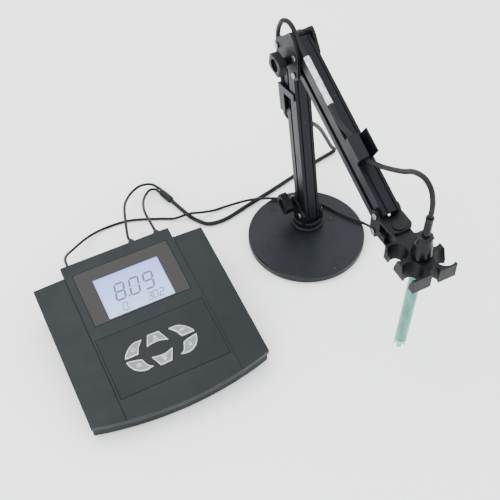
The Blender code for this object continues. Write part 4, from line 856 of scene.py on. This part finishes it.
KEY_SHAPES = {
    "upper": [
        [(-12.9, 6.0), (-7.8, 17.8)], [(-7.8, 17.8), (4.4, 17.5)], [(4.4, 17.5), (10.2, 4.7)],
        [(10.2, 4.7), (1.7, 7.3), (-6.3, 7.2), (-12.9, 6.0)],
    ],
    "petal": [
        [(-37.6, 2.5), (-34.6, 7.8), (-29.0, 13.0), (-22.6, 15.8), (-14.3, 15.8)],
        [(-14.3, 15.8), (-20.3, 8.9), (-23.1, 2.4)], [(-23.1, 2.4), (-30.8, 2.2), (-37.6, 2.5)],
    ],
    "low_petal": [
        [(-37.8, -0.7), (-36.7, -5.6), (-33.2, -11.6), (-27.9, -15.3), (-21.6, -16.6), (-14.1, -15.2)],
        [(-14.1, -15.2), (-18.9, -12.1), (-22.3, -4.1)], [(-22.3, -4.1), (-29.6, -2.0), (-37.8, -0.7)],
    ],
}
KEYS = {
    "key_up": ("upper", 1, 1), "key_down": ("upper", 1, -1), "key_power": ("petal", 1, 1),
    "key_lower_left": ("low_petal", 1, 1), "key_upper_right": ("petal", -1, 1),
    "key_lower_right": ("low_petal", -1, 1),
}


OPEN_TOP = 0.7


def key_outline(name):
    shape, across, up = KEYS[name]
    points = []
    for side in KEY_SHAPES[shape]:
        points += through(side, 4)[:-1]
    return [(KEY_CENTRE.x + p.x * across * MM, KEY_CENTRE.y + p.y * up * MM) for p in points]


def offset(outline, by):
    """A copy of the outline moved sideways by the distance, outward for a positive one."""
    points = [Vector(p) for p in outline]
    area = sum(a.x * b.y - b.x * a.y for a, b in zip(points, points[1:] + points[:1]))
    facing = 1 if area > 0 else -1
    result = []
    for i, here in enumerate(points):
        before = (here - points[i - 1]).normalized()
        after = (points[(i + 1) % len(points)] - here).normalized()
        out_before = Vector((before.y, -before.x)) * facing
        out_after = Vector((after.y, -after.x)) * facing
        middle = (out_before + out_after).normalized()
        reach = by / max(0.55, middle.dot(out_before))
        result.append(tuple(here + middle * reach))
    return result


def middle_of(outline):
    """The middle of the area inside an outline."""
    area = x = y = 0.0
    for (ax, ay), (bx, by) in zip(outline, outline[1:] + outline[:1]):
        part = ax * by - bx * ay
        area += part
        x += (ax + bx) * part
        y += (ay + by) * part
    return x / (3 * area), y / (3 * area)


def icon(name):
    """A plain mark for each key."""
    outline = key_outline(name)
    x, y = middle_of(outline)
    m = MM
    if name == "key_power":
        start, end = OPEN_TOP, 2 * pi - OPEN_TOP
        band = arc(x, y, 2.2 * m, start, end) + arc(x, y, 1.6 * m, end, start)
        return [band, rectangle(x - 0.3 * m, y + 0.2 * m, x + 0.3 * m, y + 2.6 * m)]
    if name in ("key_up", "key_down"):
        up = 1 if name == "key_up" else -1
        return [
            [(x - 2.1 * m, y + up * 0.3 * m), (x + 2.1 * m, y + up * 0.3 * m), (x, y + up * 3.0 * m)],
            rectangle(x - 3.0 * m, y - up * 1.6 * m - 0.4 * m, x + 3.0 * m, y - up * 1.6 * m + 0.4 * m),
        ]
    if name == "key_lower_left":
        return [
            [rectangle(x - 2.2 * m, y - 1.6 * m, x + 2.2 * m, y + 1.8 * m),
             rectangle(x - 1.7 * m, y - 1.1 * m, x + 1.7 * m, y + 1.3 * m)],
            rectangle(x - 1.2 * m, y - 0.1 * m, x + 1.2 * m, y + 0.4 * m),
        ]
    if name == "key_upper_right":
        return [
            rectangle(x - 2.6 * m, y + 0.5 * m, x + 2.6 * m, y + 1.1 * m),
            rectangle(x - 2.6 * m, y - 0.8 * m, x + 2.6 * m, y - 0.2 * m),
        ]
    return [ring(x, y, 1.7 * m, 1.15 * m)]


def make_keypad():
    """The keypad sheet with a hole for each key, and the keys with their rims, faces and marks."""
    sheet = [rounded(rectangle(*KEYPAD), 1.0 * MM)]
    for name in KEYS:
        sheet.append(offset(key_outline(name), KEY_PLAY * 0.8))
    mesh = slab("keypad_sheet", sheet, PANEL_TOP - 1.2 * MM, PANEL_TOP, METER)
    mesh = softened("keypad_sheet", mesh, 0.2 * MM, 2, 50)
    show("keypad_sheet", mesh, "keypad", "base", ("keypad_panel",), None)
    for name in KEYS:
        outline = key_outline(name)
        mesh = softened(name, slab(name, [outline], KEY_LOW, KEY_TOP, METER), 0.45 * MM, 3, 50)
        show(name + "_cap", mesh, "key_rim", name, (name,), None)
        top = KEY_TOP + KEY_PRINT
        mesh = slab(name + "_face", [offset(outline, -KEY_RIM)], KEY_TOP - 0.4 * MM, top, METER)
        show(name + "_face", mesh, "key_face", name)
        printed(name + "_mark", icon(name), top, top + KEY_PRINT, "key_mark", name)


# ---------------------------------------------------------------- stand

STAND_PARTS = (
    ("base_pad", "base", "foot_rubber", "rubber", 0.4),
    ("stand_disc", "base", "disc_paint", "painted", 0.5),
    ("turret", "turret", "stand_plastic", "black", 0.5),
    ("lower_channel", "lower_arm", "anodised", "anodised", 0.3),
    ("lower_back_bar", "back_bar", "anodised", "anodised", 0.3),
    ("upper_channel", "upper_arm", "anodised", "anodised", 0.3),
    ("upper_tie_bar", "tie_bar", "anodised", "anodised", 0.3),
    ("elbow_bracket", "elbow", "stand_plastic", "black", 0.5),
    ("wrist_bracket", "wrist", "stand_plastic", "black", 0.5),
    ("swivel_pin", "wrist", "stand_plastic", "black", 0.25),
    ("holder_block", "holder", "stand_plastic", "black", 0.5),
    ("base_knob", "base_knob", "stand_plastic", "black", 1.2),
    ("elbow_knob", "elbow_knob", "stand_plastic", "black", 1.2),
    ("upper_clip", "upper_arm", "anodised", "anodised", 0.25),
    ("lower_clip", "lower_arm", "anodised", "anodised", 0.25),
    ("base_bolt", "turret", "bolt_steel", "steel", 0.5),
    ("elbow_back_bolt", "elbow", "bolt_steel", "steel", 0.5),
    ("upper_root_bolt", "elbow", "bolt_steel", "steel", 0.5),
    ("tie_root_bolt", "elbow", "bolt_steel", "steel", 0.5),
    ("wrist_top_bolt", "wrist", "bolt_steel", "steel", 0.5),
    ("wrist_low_bolt", "wrist", "bolt_steel", "steel", 0.5),
)


def make_stand():
    for node, body, finish_name, slot, width in STAND_PARTS:
        rounded_node(node, body, finish_name, width * MM, segments=3 if width > 1 else 2)


SLEEVE = (-60.0 * MM, -8.0 * MM)
SLEEVE_RADIUS = 3.0 * MM


def make_sleeve():
    """The silvery sleeve shrunk round the lead on the upper arm."""
    start, end = SLEEVE
    count = 40
    route = []
    radii = []
    for i in range(count + 1):
        t = i / count
        route.append(on_upper_arm(LANE, start + (end - start) * t, LANE_FLOOR + 0.2 * MM))
        radii.append(SLEEVE_RADIUS + 0.12 * MM * sin(t * 23) * sin(t * 9))
    mesh = tube("lead_sleeve", route, radii, 28)
    show("lead_sleeve", mesh, "sleeve", "upper_arm", sharp=60)


# ---------------------------------------------------------------- electrode

def make_electrode():
    cap = in_mm([
        (0, 25.5), (5.4, 25.5), (6.2, 25.1), (7.1, 24.4), (7.3, 23.8), (6.9, 22.9), (6.6, 22.4), (6.8, 21.4),
        (7.4, 19.0), (7.9, 16.2), (8.2, 15.6), (8.35, 15.0), (9.1, 9.0), (9.6, 5.2), (9.7, 4.6), (9.7, 1.3),
        (9.2, 0.8), (6.3, 0.8), (6.3, 12.6), (0, 12.6),
    ])
    mesh = turned("electrode_cap", cap, ELECTRODE, 48)
    show("cap_moulding", mesh, "cap_plastic", "electrode", ("electrode_cap",), 28)
    boot = in_mm([
        (0, 25.8), (3.7, 25.8), (3.7, 30.0), (3.4, 30.4), (3.35, 38.0), (3.3, 44.6), (3.7, 45.0), (3.8, 45.4),
        (3.8, 47.4), (3.5, 48.0), (0, 48.0),
    ])
    mesh = turned("strain_relief", boot, ELECTRODE, 32)
    show("strain_relief_moulding", mesh, "cap_plastic", "electrode", ("strain_relief",), 28)
    rounded_node("electrode_body", "electrode", "teal_tube", 0.2 * MM)
    rounded_node("bulb_guard", "electrode", "guard", 0.2 * MM)


def give_finishes():
    """The CAD parts that stay as they are."""
    hidden = (("circuit_board", "board_green"), ("turret_axle", "bolt_steel"), ("sensing_bulb", "bulb_glass"))
    for node, name in hidden:
        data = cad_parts[node].data
        data.materials.clear()
        data.materials.append(finish(name))


# ---------------------------------------------------------------- what repeats

def new_tree(name, **inputs):
    """An empty geometry tree with its inputs, each of the kind given, and a finish."""
    tree = bpy.data.node_groups.new(name, "GeometryNodeTree")
    face = tree.interface
    face.new_socket("Geometry", in_out="OUTPUT", socket_type="NodeSocketGeometry")
    inputs["finish"] = "Material"
    sockets = [
        face.new_socket(label, in_out="INPUT", socket_type="NodeSocket" + kind)
        for label, kind in inputs.items()
    ]
    return tree, tuple(socket.identifier for socket in sockets), tree.nodes.new("NodeGroupInput")


def spread_out(tree, given, points, copy):
    """Puts the copy on each of the points, paints the result and hands it on."""
    new, link = tree.nodes.new, tree.links.new
    spread = new("GeometryNodeInstanceOnPoints")
    real = new("GeometryNodeRealizeInstances")
    paint = new("GeometryNodeSetMaterial")
    result = new("NodeGroupOutput")
    link(points, spread.inputs["Points"])
    link(copy, spread.inputs["Instance"])
    link(spread.outputs["Instances"], real.inputs["Geometry"])
    link(real.outputs["Geometry"], paint.inputs["Geometry"])
    link(given.outputs["finish"], paint.inputs["Material"])
    link(paint.outputs["Geometry"], result.inputs["Geometry"])


def studs_tree():
    """Small round studs in a ring."""
    tree, sockets, given = new_tree("studs_in_a_ring", count="Int", ring_radius="Float", stud_radius="Float")
    new, link = tree.nodes.new, tree.links.new
    circle = new("GeometryNodeMeshCircle")
    ball = new("GeometryNodeMeshIcoSphere")
    ball.inputs["Subdivisions"].default_value = 3
    link(given.outputs["count"], circle.inputs["Vertices"])
    link(given.outputs["ring_radius"], circle.inputs["Radius"])
    link(given.outputs["stud_radius"], ball.inputs["Radius"])
    spread_out(tree, given, circle.outputs["Mesh"], ball.outputs["Mesh"])
    return tree, sockets


def rings_tree():
    """Round ribs, one above another."""
    tree, sockets, given = new_tree(
        "ribs_in_a_row", count="Int", pitch="Float", rib_radius="Float", bead_radius="Float"
    )
    new, link = tree.nodes.new, tree.links.new
    row = new("GeometryNodeMeshLine")
    step = new("ShaderNodeCombineXYZ")
    path = new("GeometryNodeCurvePrimitiveCircle")
    path.inputs["Resolution"].default_value = 40
    bead = new("GeometryNodeCurvePrimitiveCircle")
    bead.inputs["Resolution"].default_value = 10
    rib = new("GeometryNodeCurveToMesh")
    link(given.outputs["count"], row.inputs["Count"])
    link(given.outputs["pitch"], step.inputs["Z"])
    link(step.outputs["Vector"], row.inputs["Offset"])
    link(given.outputs["rib_radius"], path.inputs["Radius"])
    link(given.outputs["bead_radius"], bead.inputs["Radius"])
    link(path.outputs["Curve"], rib.inputs["Curve"])
    link(bead.outputs["Curve"], rib.inputs["Profile Curve"])
    spread_out(tree, given, row.outputs["Mesh"], rib.outputs["Mesh"])
    return tree, sockets


def grow(name, tree_and_sockets, values, matrix, body, finish_name):
    """Runs a tree with its values and puts the plain mesh at the matrix."""
    tree, sockets = tree_and_sockets
    seed = bpy.data.objects.new(name, bpy.data.meshes.new(name))
    bpy.context.scene.collection.objects.link(seed)
    step = seed.modifiers.new("repeat", "NODES")
    step.node_group = tree
    for identifier, value in zip(sockets, (*values, finish(finish_name))):
        step[identifier] = value
    graph = bpy.context.evaluated_depsgraph_get()
    mesh = bpy.data.meshes.new_from_object(seed.evaluated_get(graph))
    bpy.data.objects.remove(seed)
    cleaned(mesh, mesh, weld=None, move=lambda at: matrix @ at)
    return show(name, mesh, finish_name, body)


def make_repeats():
    """The studs round the cap, and the ribs of the strain relief and the plugs."""
    studs = studs_tree()
    rings = rings_tree()
    grow(
        "cap_studs", studs, (8, 7.0 * MM, 0.9 * MM), ELECTRODE @ Matrix.Translation((0, 0, 23.6 * MM)),
        "electrode", "cap_plastic",
    )
    grow(
        "strain_relief_ribs", rings, (6, 2.1 * MM, 3.2 * MM, 0.42 * MM),
        ELECTRODE @ Matrix.Translation((0, 0, 31.6 * MM)), "electrode", "cap_plastic",
    )
    for name in ("plug_outer", "plug_inner"):
        low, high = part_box(name)
        at = Vector(((low.x + high.x) / 2, low.y + 1.6 * MM, (low.z + high.z) / 2))
        grow(
            name + "_ribs", rings, (4, 1.2 * MM, 4.45 * MM, 0.3 * MM),
            Matrix.Translation(at) @ Matrix.Rotation(radians(-90), 4, "X"), "base", "sheath",
        )


make_camera()
make_finishes()
make_cables()
make_studio()
make_housing()
make_display()
make_keypad()
make_stand()
make_sleeve()
make_electrode()
make_repeats()
give_finishes()
